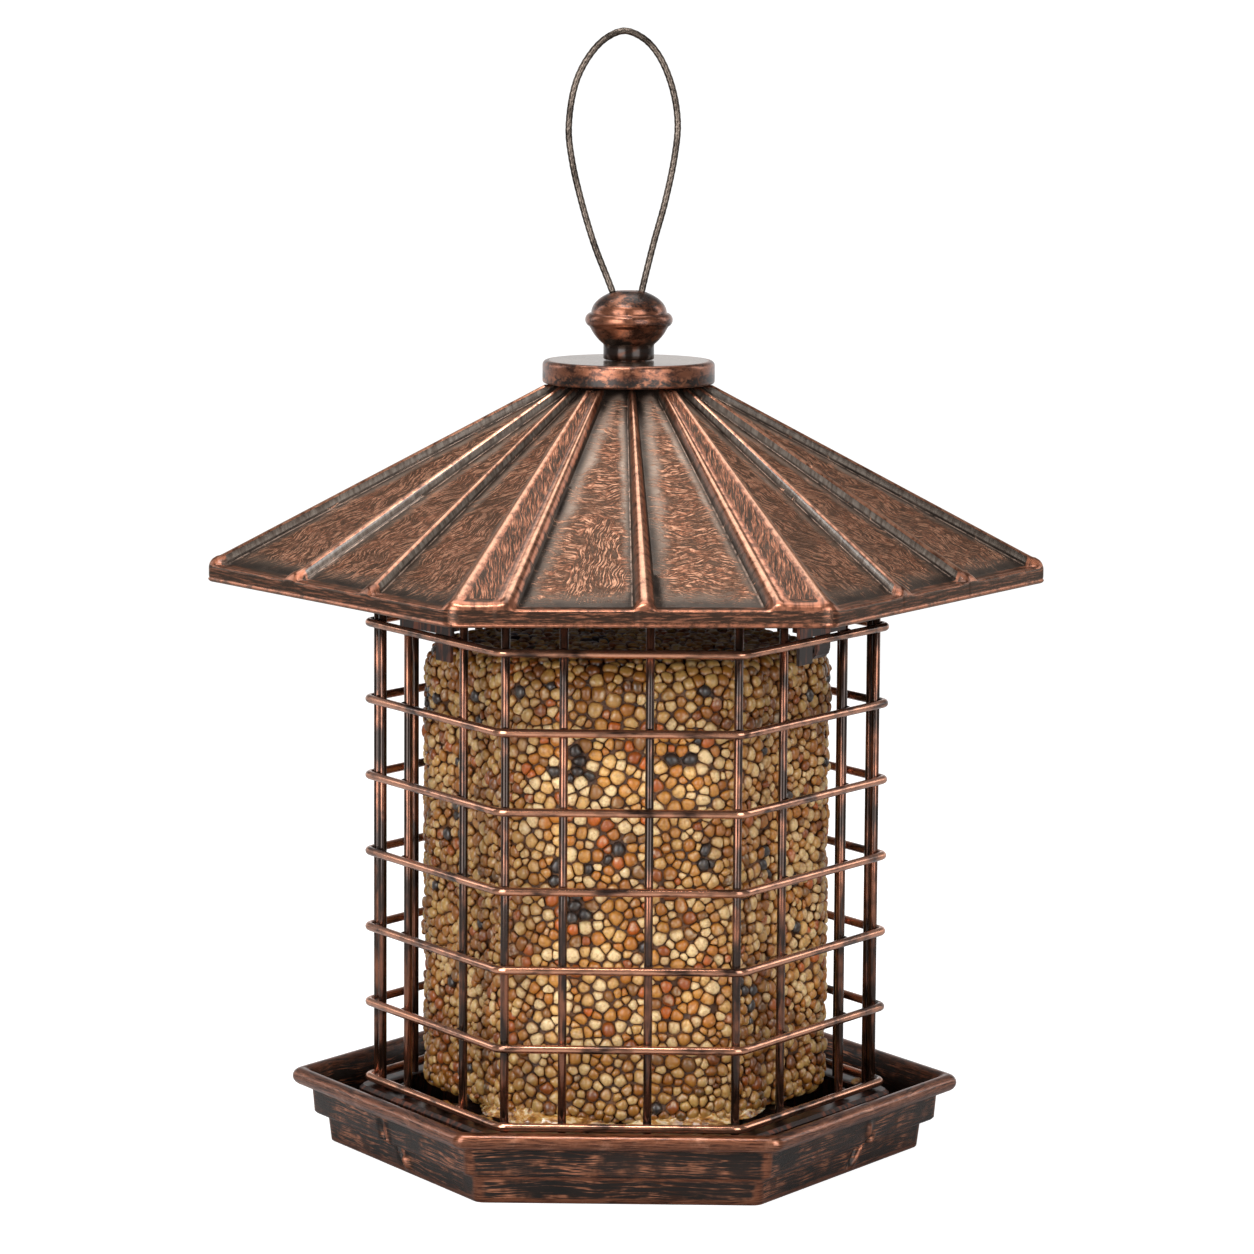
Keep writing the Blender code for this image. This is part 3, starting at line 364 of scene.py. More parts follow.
class Nodes:
    """A node tree under construction. Most methods add a node and give its value."""

    def __init__(self, tree):
        self.tree = tree

    def give(self, socket, value):
        if isinstance(value, Value):
            self.tree.links.new(value.socket, socket)
        else:
            socket.default_value = value

    def add(self, kind, inputs=(), output=0, **settings):
        """A new node's value, from its inputs by name or number and its settings."""
        made = self.tree.nodes.new("ShaderNode" + kind)
        for key, value in settings.items():
            setattr(made, key, value)
        for socket, value in dict(inputs).items():
            self.give(made.inputs[socket], value)
        return Value(self, made.outputs[output])

    def math(self, operation, first, second=0.0):
        return self.add("Math", {0: first, 1: second}, operation=operation)

    def step(self, value, low, high):
        """0 below low, 1 above high, smooth between. low may be above high, which turns it round."""
        return self.add("MapRange", {"Value": value, "From Min": low, "From Max": high},
                        interpolation_type="SMOOTHSTEP")

    def mix(self, share, first, second):
        """A colour between two."""
        return self.add("Mix", {0: share, 6: first, 7: second}, 2, data_type="RGBA")

    def blend(self, share, first, second):
        """A number between two."""
        return self.add("Mix", {0: share, 2: first, 3: second}, data_type="FLOAT")

    def axis(self, vector, name):
        return self.add("SeparateXYZ", {0: vector}, name)


class Finish(Nodes):
    """A procedural material under construction."""

    def __init__(self, name):
        self.made = bpy.data.materials.new(name)
        self.made.use_nodes = True
        super().__init__(self.made.node_tree)
        self.shader = self.tree.nodes["Principled BSDF"]
        self.place = self.add("TexCoord", output="Object")

    def set(self, **values):
        for key, value in values.items():
            self.give(self.shader.inputs[key.replace("_", " ")], value)

    def scaled(self, vector, across, along, up):
        return self.add("VectorMath", {0: vector, 1: (across, along, up)}, operation="MULTIPLY")

    def noise(self, scale, detail=3.0, roughness=0.6, vector=None, output="Fac"):
        return self.add("TexNoise", {"Vector": vector or self.place, "Scale": scale, "Detail": detail,
                                     "Roughness": roughness}, output)

    def grain(self, vector, scales, detail=3.0, roughness=0.6):
        """Noise that is stretched by a scale for each axis."""
        return self.noise(1.0, detail, roughness, self.scaled(vector, *scales))

    def wavy(self, vector, scale, amount, source=None):
        """The vector bent by soft noise, which is read at the vector or at another source."""
        by = self.noise(scale, 2.0, 0.5, source or vector, "Color")
        centred = self.add("VectorMath", {0: by, 1: (0.5, 0.5, 0.5)}, operation="SUBTRACT")
        longer = self.add("VectorMath", {0: centred, "Scale": amount}, operation="SCALE")
        return self.add("VectorMath", {0: vector, 1: longer}, operation="ADD")

    def hairs(self, vector, angle, along, across):
        """Noise in fine hairs at an angle to the first axis, from its scales along and across them."""
        turned = self.add("VectorRotate", {"Vector": vector, "Angle": angle * -1.0}, rotation_type="Z_AXIS")
        return self.grain(turned, (along, across, 1.0), roughness=0.55)

    def largest(self, first, *others):
        for value in others:
            first = self.math("MAXIMUM", first, value)
        return first

    def cloudy(self, cloud, low, high, first, second):
        """A colour between two, from a noise and the range in which it turns from one to the other."""
        return self.mix(self.step(cloud, low, high), first, second)

    def ramp(self, value, stops, interpolation="LINEAR"):
        made = self.add("ValToRGB", {"Fac": value}, "Color")
        ramp = made.socket.node.color_ramp
        ramp.interpolation = interpolation
        while len(ramp.elements) < len(stops):
            ramp.elements.new(0.5)
        for element, (position, colour) in zip(ramp.elements, stops):
            element.position = position
            element.color = colour
        return made

    def attribute(self, name, output="Fac"):
        return self.add("Attribute", output=output, attribute_name=name)

    def bump(self, height, distance, strength=1.0):
        return self.add("Bump", {"Height": height, "Distance": distance, "Strength": strength}, "Normal")


def rgb(red, green, blue):
    """A linear colour from sRGB values out of 255."""
    linear = []
    for value in (red, green, blue):
        share = value / 255.0
        linear.append(share / 12.92 if share <= 0.04045 else ((share + 0.055) / 1.055) ** 2.4)
    return (*linear, 1.0)


COPPER_BRIGHT = rgb(226, 164, 130)
COPPER = rgb(164, 104, 78)
COPPER_DEEP = rgb(88, 56, 42)
PATINA = rgb(58, 49, 43)
PATINA_DARK = rgb(30, 24, 21)
PATINA_GREY = rgb(152, 134, 120)
PATINA_LOW = rgb(88, 74, 64)
BAND_DULL = rgb(96, 76, 64)
SKIRT_DARK = rgb(50, 34, 26)
PANEL_GROUND = rgb(54, 36, 26)
PANEL_GROUND_LIGHT = rgb(88, 60, 43)
STROKE = rgb(198, 148, 120)
# The next colour is painted shade, grey, on one flank of each rib
FLANK_SHADE_GREY = rgb(92, 84, 77)
# The next colour is a painted highlight, a thin light line along the fold at a rib's foot
FOLD_HIGHLIGHT = rgb(176, 150, 134)

# Seed colours by tone, from pale millet to black sunflower seed
TONE_STOPS = (0.00, 0.28, 0.50, 0.66, 0.77, 0.81, 0.85, 0.92)
HUSKS_DRY = list(zip(TONE_STOPS, (
    rgb(238, 208, 154), rgb(224, 178, 108), rgb(206, 144, 66), rgb(194, 122, 44),
    rgb(198, 98, 30), rgb(156, 76, 26), rgb(146, 100, 52), rgb(36, 28, 24))))
# Darker copies of the husk colours, for husks wet with fat and for painted shade
HUSKS_WET_AND_SHADED = list(zip(TONE_STOPS, (
    rgb(172, 136, 76), rgb(150, 110, 52), rgb(132, 86, 28), rgb(118, 70, 14),
    rgb(124, 60, 12), rgb(92, 48, 12), rgb(84, 58, 24), rgb(24, 18, 15))))


def roof_finish():
    """Copper strokes on a dark patina in the middle of each panel, smooth dark margins, copper crests,
    painted shade on one flank of each rib and a painted highlight along the fold at its foot.
    """
    look = Finish("roof_copper")
    sheet = look.scaled(look.attribute("sheet", "Vector"), 1.0 / MM, 1.0 / MM, 1.0 / MM)
    edge = look.attribute("edge") * (1.0 / MM)
    crest = look.attribute("crest")
    cloud = look.noise(0.10, 4.0, 0.6, sheet)
    fine = look.noise(1.3, 4.0, 0.65, sheet)
    # Strokes in three directions
    bent = look.wavy(look.wavy(sheet, 0.085, 7.0), 0.30, 1.2, sheet)
    lean = look.attribute("lean")
    swirl = look.attribute("swirl")
    choice = look.noise(0.13, 2.0, 0.5, sheet)
    flat_noise = look.hairs(bent, lean - 0.22, 0.15, 2.60)
    flat_hairs = look.step(flat_noise, 0.46, 0.56)
    slant_hairs = look.step(look.hairs(bent, lean + 0.34, 0.16, 2.90), 0.47, 0.57)
    steep_hairs = look.step(look.hairs(bent, lean + 1.35, 0.16, 2.70), 0.46, 0.56)
    steep = look.step(swirl + choice * 0.9, 0.62, 0.86)
    one_way = look.step(choice, 0.44, 0.56)
    flatter = 1.0 - steep * 0.9
    stroke = look.largest(flat_hairs * look.blend(one_way, 1.0, 0.25) * flatter,
                          slant_hairs * look.blend(one_way, 0.2, 1.0) * flatter, steep_hairs * steep)
    broken = look.step(look.noise(0.60, 4.0, 0.65, sheet), 0.32, 0.56)
    stroke = stroke * look.blend(broken, 0.35, 1.0)
    # The panel: copper strokes in its middle, a dark ground, a grey margin
    ragged = edge + (cloud - 0.5) * 5.0
    border = ragged + (flat_noise - 0.5) * 13.0
    middle = look.step(border, 1.6, 5.0)
    inside = look.step(ragged, 1.2, 5.2)
    patchy = look.blend(look.step(cloud, 0.34, 0.54), 0.45, 1.0)
    copper_share = look.step(stroke, 0.10, 0.85) * middle * patchy
    ground = look.cloudy(cloud, 0.35, 0.65, PATINA_DARK, PATINA)
    margin = look.cloudy(look.axis(sheet, "Y"), 12.0, 62.0, PATINA_LOW, PATINA_GREY)
    ground = look.mix(look.step(edge, 0.6, 3.2) * look.step(ragged, 6.0, 3.0), ground, margin)
    ground = look.mix(inside, ground, look.cloudy(fine, 0.35, 0.65, PANEL_GROUND, PANEL_GROUND_LIGHT))
    colour = look.mix(copper_share, ground, look.cloudy(stroke, 0.45, 0.95, COPPER, STROKE))
    # The wide bands at the front and back hips
    band = look.attribute("band")
    wavy = look.wavy(sheet, 0.15, 2.4)
    down = look.grain(wavy, (2.4, 0.16, 1.0), 4.0, 0.65)
    streaks = look.step(down, 0.46, 0.58)
    band_ground = look.mix(cloud, PATINA_DARK, BAND_DULL)
    band_colour = look.mix(streaks, band_ground, look.cloudy(down, 0.56, 0.68, COPPER, COPPER_BRIGHT))
    colour = look.mix(band * 0.9, colour, band_colour)
    # Rubbed crests
    soft = look.noise(0.45, 3.0, 0.6, sheet)
    rubbed = crest + (soft - 0.5) * 0.5
    crest_share = look.step(rubbed, 0.34, 0.66)
    crest_copper = look.cloudy(rubbed, 0.78, 1.08, look.cloudy(soft, 0.3, 0.6, COPPER_DEEP, COPPER),
                               look.cloudy(rubbed, 1.0, 1.2, STROKE, COPPER_BRIGHT))
    colour = look.mix(crest_share, colour, crest_copper)
    # Painted shade on one flank of each rib, grey and hatched, and a painted highlight along the fold at its
    # foot
    shaded_flank = look.attribute("shaded_flank")
    hatch = look.step(look.grain(wavy, (0.5, 0.95, 1.0)), 0.32, 0.70)
    shaded_flank_share = look.step(shaded_flank, 0.62, 0.95)
    colour = look.mix(shaded_flank_share, colour, look.mix(hatch, PATINA, FLANK_SHADE_GREY))
    # Painted highlight: a thin light line along the fold at the foot of the shaded flank
    fold_highlight_share = look.step(look.attribute("fold_highlight"), 0.76, 0.98) * look.step(soft, 0.3, 0.62)
    colour = look.mix(fold_highlight_share * 0.7, colour, FOLD_HIGHLIGHT)
    # The skirt
    skirt = look.step(edge, -0.2, -0.8)
    dashes = look.grain(sheet, (0.16, 1.5, 1.0), 4.0, 0.7)
    skirt_colour = look.cloudy(dashes, 0.48, 0.64, SKIRT_DARK, look.mix(fine, COPPER_DEEP, COPPER))
    skirt_colour = look.mix(crest_share, skirt_colour, crest_copper)
    colour = look.mix(skirt, colour, skirt_colour)
    bare = look.largest(copper_share, crest_share)
    look.set(Base_Color=colour, Metallic=look.blend(bare, 0.55, 0.92), Specular_Tint=(1.0, 0.84, 0.72, 1.0))
    rough = look.blend(middle * fine, 0.28, 0.50)
    look.set(Roughness=look.blend(shaded_flank_share, rough, 0.52))
    relief = stroke * middle * 0.6 + fine * look.blend(crest_share, 0.30, 0.04)
    relief += down * band * 2.2
    look.set(Normal=look.bump(relief, 0.32 * MM, 0.8))
    look.set(Coat_Weight=look.blend(crest_share, 0.0, 0.35), Coat_Roughness=0.16)
    return look.made


def worn_copper_finish(name, streak=(115.0, 115.0, 2500.0), dark=0.0, gloss=0.24, stipple=150.0, coat=0.12,
                       dents=()):
    """Antique copper: dark patina with fine scratches, bright where an edge is worn, and pressed-in dents,
    each painted dark as painted shade beside a raised ridge painted copper as a painted highlight.

    Wear over 1.5 stands for a polished face painted pale as a painted sheen, and wear under 0 for a dark
    glossy one."""
    look = Finish(name)
    wear = look.attribute("wear")
    line = look.grain(look.wavy(look.place, 30.0, 3.0 * MM), streak, 5.0, 0.72)
    cloud = look.noise(38.0, 4.0, 0.6)
    fine = look.noise(700.0)
    scratches = look.step(line, 0.52 + dark, 0.62 + dark) * look.blend(cloud, 0.20, 0.8)
    thin = look.grain(look.wavy(look.place, 30.0, 4.0 * MM), [scale * 0.30 for scale in streak])
    thin = look.step(abs(thin - 0.5), 0.048, 0.008) * look.step(look.noise(52.0), 0.38, 0.56)
    scratches = look.largest(scratches, thin * 0.95)
    ground = look.cloudy(cloud, 0.35, 0.65, rgb(20, 15, 12), rgb(38, 27, 22))
    copper = look.cloudy(look.noise(160.0), 0.35, 0.65, COPPER_DEEP, rgb(206, 136, 102))
    colour = look.mix(scratches * 0.90, ground, copper)
    # Rubbed edges
    rubbed = wear + (look.noise(stipple, 5.0, 0.7) - 0.5) * 0.9
    share = look.step(rubbed, 0.42, 0.80)
    rim_bright = look.cloudy(rubbed, 0.92, 1.28, rgb(136, 84, 60), rgb(200, 144, 116))
    rim = look.cloudy(line, 0.38, 0.56, rgb(66, 38, 27), rim_bright)
    colour = look.mix(share, colour, rim)
    # Polished and glossy faces; the polished one is painted pale as a painted sheen
    pale = look.step(wear, 1.3, 1.7)
    glossy = look.step(wear, -0.02, -0.18)
    colour = look.mix(pale, colour, look.cloudy(cloud, 0.3, 0.7, rgb(128, 106, 90), rgb(158, 134, 116)))
    colour = look.mix(glossy, colour, look.mix(scratches * 0.35, rgb(34, 25, 21), COPPER_DEEP))
    relief = line * 0.5 + cloud * 0.9 + fine * 0.12
    # Dents, with painted shade in each pressed-in dent and a painted highlight in copper on each raised ridge
    along = look.attribute("along", "Vector")
    for side, across, height, half_width, half_height, slant, depth in dents:
        up = look.axis(along, "Y") - height
        off = look.axis(along, "X") - (side + across) - up * slant
        near = look.step(abs(off), half_width, 0.0) * look.step(abs(up), half_height, half_height * 0.4)
        relief += near * depth
        colour = look.mix(near * 0.62, colour, PATINA_DARK if depth < 0.0 else COPPER)
    look.set(Base_Color=colour, Metallic=look.blend(look.largest(share, scratches), 0.5, 0.92))
    even = look.largest(pale, glossy)
    look.set(Roughness=look.blend(even, look.blend(line, gloss, gloss + 0.18), look.blend(fine, 0.12, 0.24)))
    look.set(Normal=look.bump(relief, 0.30 * MM, look.blend(look.largest(even, share * 0.6), 0.7, 0.08)))
    look.set(Coat_Weight=look.blend(share * (1.0 - pale), 0.06, 0.38), Coat_Roughness=coat)
    return look.made


def bronze_finish(name, gloss):
    """Dark bronze wire and sheet with reddish wear."""
    look = Finish(name)
    line = look.grain(look.place, (500.0, 500.0, 60.0))
    cloud = look.noise(120.0)
    worn = look.step(line * 0.6 + cloud * 0.5, 0.53, 0.68)
    colour = look.mix(worn, rgb(46, 32, 27), rgb(128, 74, 54))
    look.set(Base_Color=colour, Metallic=look.blend(worn, 0.7, 0.95))
    look.set(Roughness=look.blend(cloud, gloss, gloss + 0.14), Coat_Weight=0.25, Coat_Roughness=0.2)
    look.set(Normal=look.bump(cloud, 0.12 * MM, 0.6))
    return look.made


def wire_finish(name, dark, worn_colour, low, high, along):
    """Glossy bronze wire, worn to copper in stretches along it."""
    look = Finish(name)
    line = look.grain(look.place, along, 4.0, 0.65)
    cloud = look.noise(70.0)
    worn = look.step(line * 0.45 + cloud * 0.55, low, high)
    colour = look.mix(worn, dark, worn_colour)
    look.set(Base_Color=colour, Metallic=look.blend(worn, 0.75, 0.95), Roughness=look.blend(line, 0.12, 0.28))
    look.set(Normal=look.bump(line, 0.04 * MM, 0.4), Coat_Weight=0.35, Coat_Roughness=0.08)
    return look.made


def steel_finish(name, shade, roughness, grain=(900.0, 900.0, 900.0)):
    """Bare steel with fine grain and darker stains."""
    look = Finish(name)
    line = look.grain(look.place, grain)
    cloud = look.noise(160.0)
    dark = [value * 0.35 for value in shade[:3]] + [1.0]
    look.set(Base_Color=look.cloudy(line + cloud, 0.75, 1.15, dark, shade))
    look.set(Metallic=1.0, Roughness=look.blend(line, roughness, roughness + 0.16))
    look.set(Normal=look.bump(line, 0.06 * MM, 0.6))
    return look.made


def seed_finish():
    """Husks of many colours, each with its own tone and specks, darker where wet with fat and with painted
    shade on parts of the block, and amber then near black towards each seed's foot, where it sinks into the
    binder, as painted shade.
    """
    look = Finish("seed_husks")
    tone = look.attribute("tone")
    shade = look.attribute("shade")
    dry = look.ramp(tone, HUSKS_DRY, "CONSTANT")
    wet = look.ramp(tone, HUSKS_WET_AND_SHADED, "CONSTANT")
    # The husks take the darker colours where they are wet with fat in random patches, and as painted shade at
    # the shoulder under the roof, round the foot and on the sides
    wet_and_shade = look.attribute("wet_and_shade")
    husk = look.mix(wet_and_shade, dry, wet)
    mottle = look.noise(900.0)
    specks = look.noise(330.0, 2.0, 0.5)
    dark_seed = look.step(tone, 0.90, 0.93)
    colour = look.mix(look.step(mottle, 0.40, 0.70) * 0.48, husk, rgb(140, 84, 32))
    colour = look.mix(look.step(specks, 0.55, 0.72) * 0.28, colour, rgb(246, 226, 188))
    colour = look.mix(dark_seed * 0.85, colour, look.mix(mottle, rgb(26, 22, 21), rgb(62, 54, 50)))
    amber = look.mix(dark_seed, rgb(132, 72, 18), rgb(30, 22, 18))
    # Painted shade: each seed turns amber and then near black from its crown to its foot
    colour = look.cloudy(shade, 0.22, 0.80, colour, amber)
    colour = look.cloudy(shade, 0.46, 0.84, colour, rgb(50, 24, 4))
    look.set(Base_Color=colour, Roughness=look.blend(mottle, 0.32, 0.52))
    look.set(Normal=look.bump(mottle, 0.12 * MM, 0.7), Subsurface_Weight=0.06, Subsurface_Scale=2.0 * MM)
    look.set(Coat_Weight=look.blend(wet_and_shade, 0.20, 0.40), Coat_Roughness=look.blend(wet_and_shade, 0.22, 0.12))
    return look.made


def binder_finish():
    """Honey-coloured binder between the seeds."""
    look = Finish("seed_binder")
    lump = look.noise(260.0, 4.0, 0.65)
    colour = look.ramp(lump, [(0.30, rgb(40, 20, 6)), (0.52, rgb(78, 44, 14)), (0.72, rgb(132, 82, 32))])
    look.set(Base_Color=colour, Roughness=look.blend(lump, 0.45, 0.7))
    look.set(Normal=look.bump(lump, 1.2 * MM, 0.9))
    return look.made


# The front and back sides of the roof, which have a wide band at each hip, and where the ribs stand on them
FLAT_FACES = (1, 4)
FLAT_RIBS = (0.14, 0.51, 0.865)
# Where the two ribs of each other side stand
SIDE_RIBS = {0: (0.36, 0.67), 2: (0.33, 0.64), 3: (0.36, 0.67), 5: (0.33, 0.64)}
# How much the distance from the rib behind and from the rib ahead counts for a panel's margin, by side
MARGIN_GAINS = ((0.8, 2.0), (0.75, 1.3), (2.0, 0.8), (0.8, 2.0), (0.75, 1.3), (2.0, 0.8))


def rib_lift(shift):
    """Height of a rib's section, as a share, from the distance off its middle in half widths."""
    return max(0.0, 1.0 - shift * shift) ** 0.9


def roof_columns(face):
    """Across one face: (share of the side, shift in rib half widths, lift share, crest, band)."""
    rib = [(step / 6.0, rib_lift(step / 6.0)) for step in range(-6, 7)]
    hip = [(shift * 1.15, lift) for shift, lift in rib[6:]]
    columns = []

    def panel(end, steps=9):
        start = columns[-1]
        for step in range(1, steps):
            now = step / steps
            share = start[0] + (end[0] - start[0]) * now
            shift = start[1] + (end[1] - start[1]) * now
            columns.append((share, shift, 0.0, 0.0, 0.0))

    if face in FLAT_FACES:
        left, middle, right = FLAT_RIBS
        raised = [(shift, max(lift, 0.86) if shift < 0.0 else lift) for shift, lift in rib]
        band_side = [(shift, lift, *((0.5, 0.5) if shift < -0.7 else (lift, 0.0))) for shift, lift in raised]
        corner = [(0.0, 1.0, 1.0, 0.0), (0.3, 1.0, 1.0, 0.0), (0.7, 0.92, 0.8, 0.5)]
        columns += [(0.0, *values) for values in corner]
        columns += [(left * part, 0.0, 0.80, 0.0, 1.0) for part in (0.25, 0.4, 0.55, 0.7)]
        columns += [(left, *values) for values in band_side]
        panel((middle, -1.0), 12)
        columns += [(middle, shift, lift, lift, 0.0) for shift, lift in rib]
        panel((right, -1.0))
        columns += [(right, -shift, *values) for shift, *values in reversed(band_side)]
        columns += [(right + (1.0 - right) * part, 0.0, 0.80, 0.0, 1.0) for part in (0.3, 0.45, 0.6, 0.75)]
        return columns + [(1.0, -shift, *values) for shift, *values in reversed(corner)]
    columns += [(0.0, shift, lift, lift, 0.0) for shift, lift in hip]
    for share in SIDE_RIBS[face]:
        panel((share, -1.0))
        columns += [(share, shift, lift, lift, 0.0) for shift, lift in rib]
    panel((1.0, -1.15))
    return columns + [(1.0, -shift, lift, lift, 0.0) for shift, lift in reversed(hip)]


def roof_rows():
    """From the skirt's edge up to the slope's foot: (inset, height, lift share, wear)."""
    lip = SKIRT_BOTTOM + SKIRT_DEPTH
    bend = 1.1 * MM
    edge_wear, wall_wear, lip_wear = 0.64, 0.12, 0.765
    rows = [(0.3 * MM, SKIRT_BOTTOM, 0.0, 0.0)]
    rows += [(inset * MM, SKIRT_BOTTOM + up * MM, 0.0, edge_wear)
             for inset, up in ((0.0, 0.3), (-0.2, 0.7), (0.1, 1.1))]
    rows += [(0.0, SKIRT_BOTTOM + share * (SKIRT_DEPTH - bend), 0.0, wear)
             for share, wear in ((0.45, wall_wear), (0.75, wall_wear), (1.0, 0.0))]
    rows += [(*point, 0.10 + 0.12 * step, lip_wear if step else 0.0)
             for step, point in enumerate(arc((bend, lip - bend), bend, 180.0, 90.0, 5)[1:])]
    rows += [(2.0 * MM, lip, 0.80, lip_wear), (2.9 * MM, lip - 0.1 * MM, 0.93, 0.0)]
    return rows + [(4.2 * MM, lip + 0.5 * MM, 1.0, 0.0)]


def side_point(plan, face, distance, tangent):
    """A point on one side of the plan. The corners are rounded over a tangent length."""
    first, second = side_of(plan, face)
    length = (second - first).length
    along = (second - first) / length
    if distance < tangent:
        corner, before, after = first, (plan[face - 1] - first).normalized(), along
        share = 0.5 + 0.5 * max(distance, 0.0) / tangent
    elif distance > length - tangent:
        corner, before, after = second, -along, (plan[(face + 2) % SIDES] - second).normalized()
        share = 0.5 - 0.5 * max(length - distance, 0.0) / tangent
    else:
        return first + along * distance
    start, end = corner + before * tangent, corner + after * tangent
    return start * (1.0 - share) ** 2 + corner * (2.0 * share * (1.0 - share)) + end * share ** 2


def roof_levels(rows):
    """From the skirt's edge to the top: (plan, height, lift share, wear, share of the slope)."""
    eave = hexagon(ROOF_CORNER_RADIUS, ROOF_FRONT_HALF_SIDE)
    levels = [(grown(eave, -inset), height, lift, wear, 0.0) for inset, height, lift, wear in rows]
    foot, foot_height, *_ = levels[-1]
    top = hexagon(ROOF_TOP_CORNER_RADIUS, ROOF_TOP_FRONT_HALF_SIDE)
    top_height = ROOF_TOP - RIB_HEIGHT - ROOF_SHEET / 3.0
    for now in np.linspace(0.0, 1.0, SLOPE_ROWS + 1)[1:]:
        plan = [low.lerp(high, now) for low, high in zip(foot, top)]
        levels.append((plan, foot_height + (top_height - foot_height) * now, 1.0, 0.0, now))
    return levels


def panel_distance(mark, solid, face, run):
    """Distance to the panel's border, with more weight at the side where the margin is narrow."""
    behind_gain, ahead_gain = MARGIN_GAINS[face]
    behind = min([mark - other for other in solid if other <= mark], default=1.0)
    ahead = min([other - mark for other in solid if other >= mark], default=1.0)
    return min(behind * behind_gain, ahead * ahead_gain, 0.6 * run + 0.4 * MM)


def build_roof():
    """The stamped skin from the skirt's edge to the hole under the cap, with a bronze underside."""
    rows = roof_rows()
    levels = roof_levels(rows)
    foot, foot_height, *_ = levels[len(rows) - 1]
    top, top_height, *_ = levels[-1]
    slope_length = math.hypot(top_height - foot_height, (foot[0] - top[0]).length * PANEL_RUN)
    turn = Matrix.Rotation(ROOF_TURN, 3, "Z")
    points, sheet, marks_of_points = [], [], []
    for number, (plan, height, lift, wear, now) in enumerate(levels):
        half = (RIB_WIDTH_AT_EAVE + (RIB_WIDTH_AT_TOP - RIB_WIDTH_AT_EAVE) * now) / 2.0
        on_slope = number >= len(rows) - 1
        run = slope_length * now if on_slope else height - foot_height
        ring = []
        for face in range(SIDES):
            start, end = side_of(plan, face)
            length = (end - start).length
            columns = roof_columns(face)
            marks = [share * length + shift * half for share, shift, *_ in columns]
            solid = [mark for mark, column in zip(marks, columns) if column[2] > 0.0 or column[3] > 0.0]
            is_flat = face in FLAT_FACES
            open_side = 1.0 if face in (0, 3) else -1.0
            for mark, (share, shift, up, crest, band) in list(zip(marks, columns))[:-1]:
                spot = side_point(plan, face, mark, 3.0 * MM * (1.0 - 0.75 * now))
                ring.append(turn @ Vector((spot.x, spot.y, height + up * lift * RIB_HEIGHT)))
                sheet.append(((mark - length / 2.0) * (1.0 if is_flat else 0.55), run, 0.35 * face))
                facing = shift * open_side
                ribbed = up > 0.0 and band == 0.0 or crest > 0.0
                swirl = max(0.0, 1.0 - abs(mark / length - 0.37) / 0.12)
                swirl *= max(0.0, 1.0 - abs(now - 0.12) / 0.40)
                # One flank of each rib is marked for painted shade, and the fold at its foot for a painted
                # highlight
                marks_of_points.append({
                    "edge": panel_distance(mark, solid, face, run) if on_slope else -2.0 * MM,
                    "crest": max(crest * (1.0 if on_slope else lift), wear),
                    "band": band if on_slope else 0.0,
                    "lean": 0.0 if is_flat else math.pi / 2.0 - 0.30 * open_side,
                    "swirl": 1.4 * swirl if is_flat else 0.0,
                    "shaded_flank": (0.80 if is_flat else 1.0) if ribbed and 0.42 < facing < 0.99 else 0.0,
                    "fold_highlight": 1.0 if on_slope and facing > 0.99 and band == 0.0 else 0.0})
        points.append(ring)
    for plan in (grown(top, -3.0 * MM), [corner * 0.25 for corner in top]):
        ring = []
        for face in range(SIDES):
            start, end = side_of(plan, face)
            low, high = side_of(top, face)
            shrink = (end - start).length / (high - low).length
            for share, shift, *_ in roof_columns(face)[:-1]:
                mark = (share * (high - low).length + shift * RIB_WIDTH_AT_TOP / 2.0) * shrink
                spot = side_point(plan, face, within(mark, 0.0, (end - start).length), 0.4 * MM)
                ring.append(turn @ Vector((spot.x, spot.y, ROOF_TOP)))
        points.append(ring)
        sheet += [(0.0, slope_length, 0.0)] * len(ring)
        marks_of_points += [{**dict.fromkeys(marks_of_points[0], 0.0), "crest": 0.2}] * len(ring)
    mesh = grid_mesh("roof_skin", points)
    for name in marks_of_points[0]:
        store(mesh, name, [values[name] for values in marks_of_points])
    store(mesh, "sheet", sheet, "FLOAT_VECTOR")
    finishes = (roof_finish(), bronze_finish("roof_underside", 0.42))
    piece = add_piece("roof_skin", mesh, "roof", finishes, ("roof_shell",), 60.0)
    thicken(piece, ROOF_SHEET).material_offset = 1


def thicken(piece, thickness):
    """Gives a skin the sheet's thickness inward."""
    shell = piece.modifiers.new("sheet", "SOLIDIFY")
    shell.thickness = thickness
    shell.offset = -1.0
    return shell


def dent_push(mark, height):
    """How far the dents and bumps move the tray's wall outward, at a mark along its sides and a height."""
    push = 0.0
    for side, across, level, half_width, half_height, slant, depth in TRAY_DENTS:
        up = height - level
        off = abs(mark - side - across - up * slant) / half_width
        if off < 1.0 and abs(up) < half_height:
            push += DENT_UNIT * depth * (1.0 - off * off) ** 2 * (1.0 - (up / half_height) ** 4)
    return push


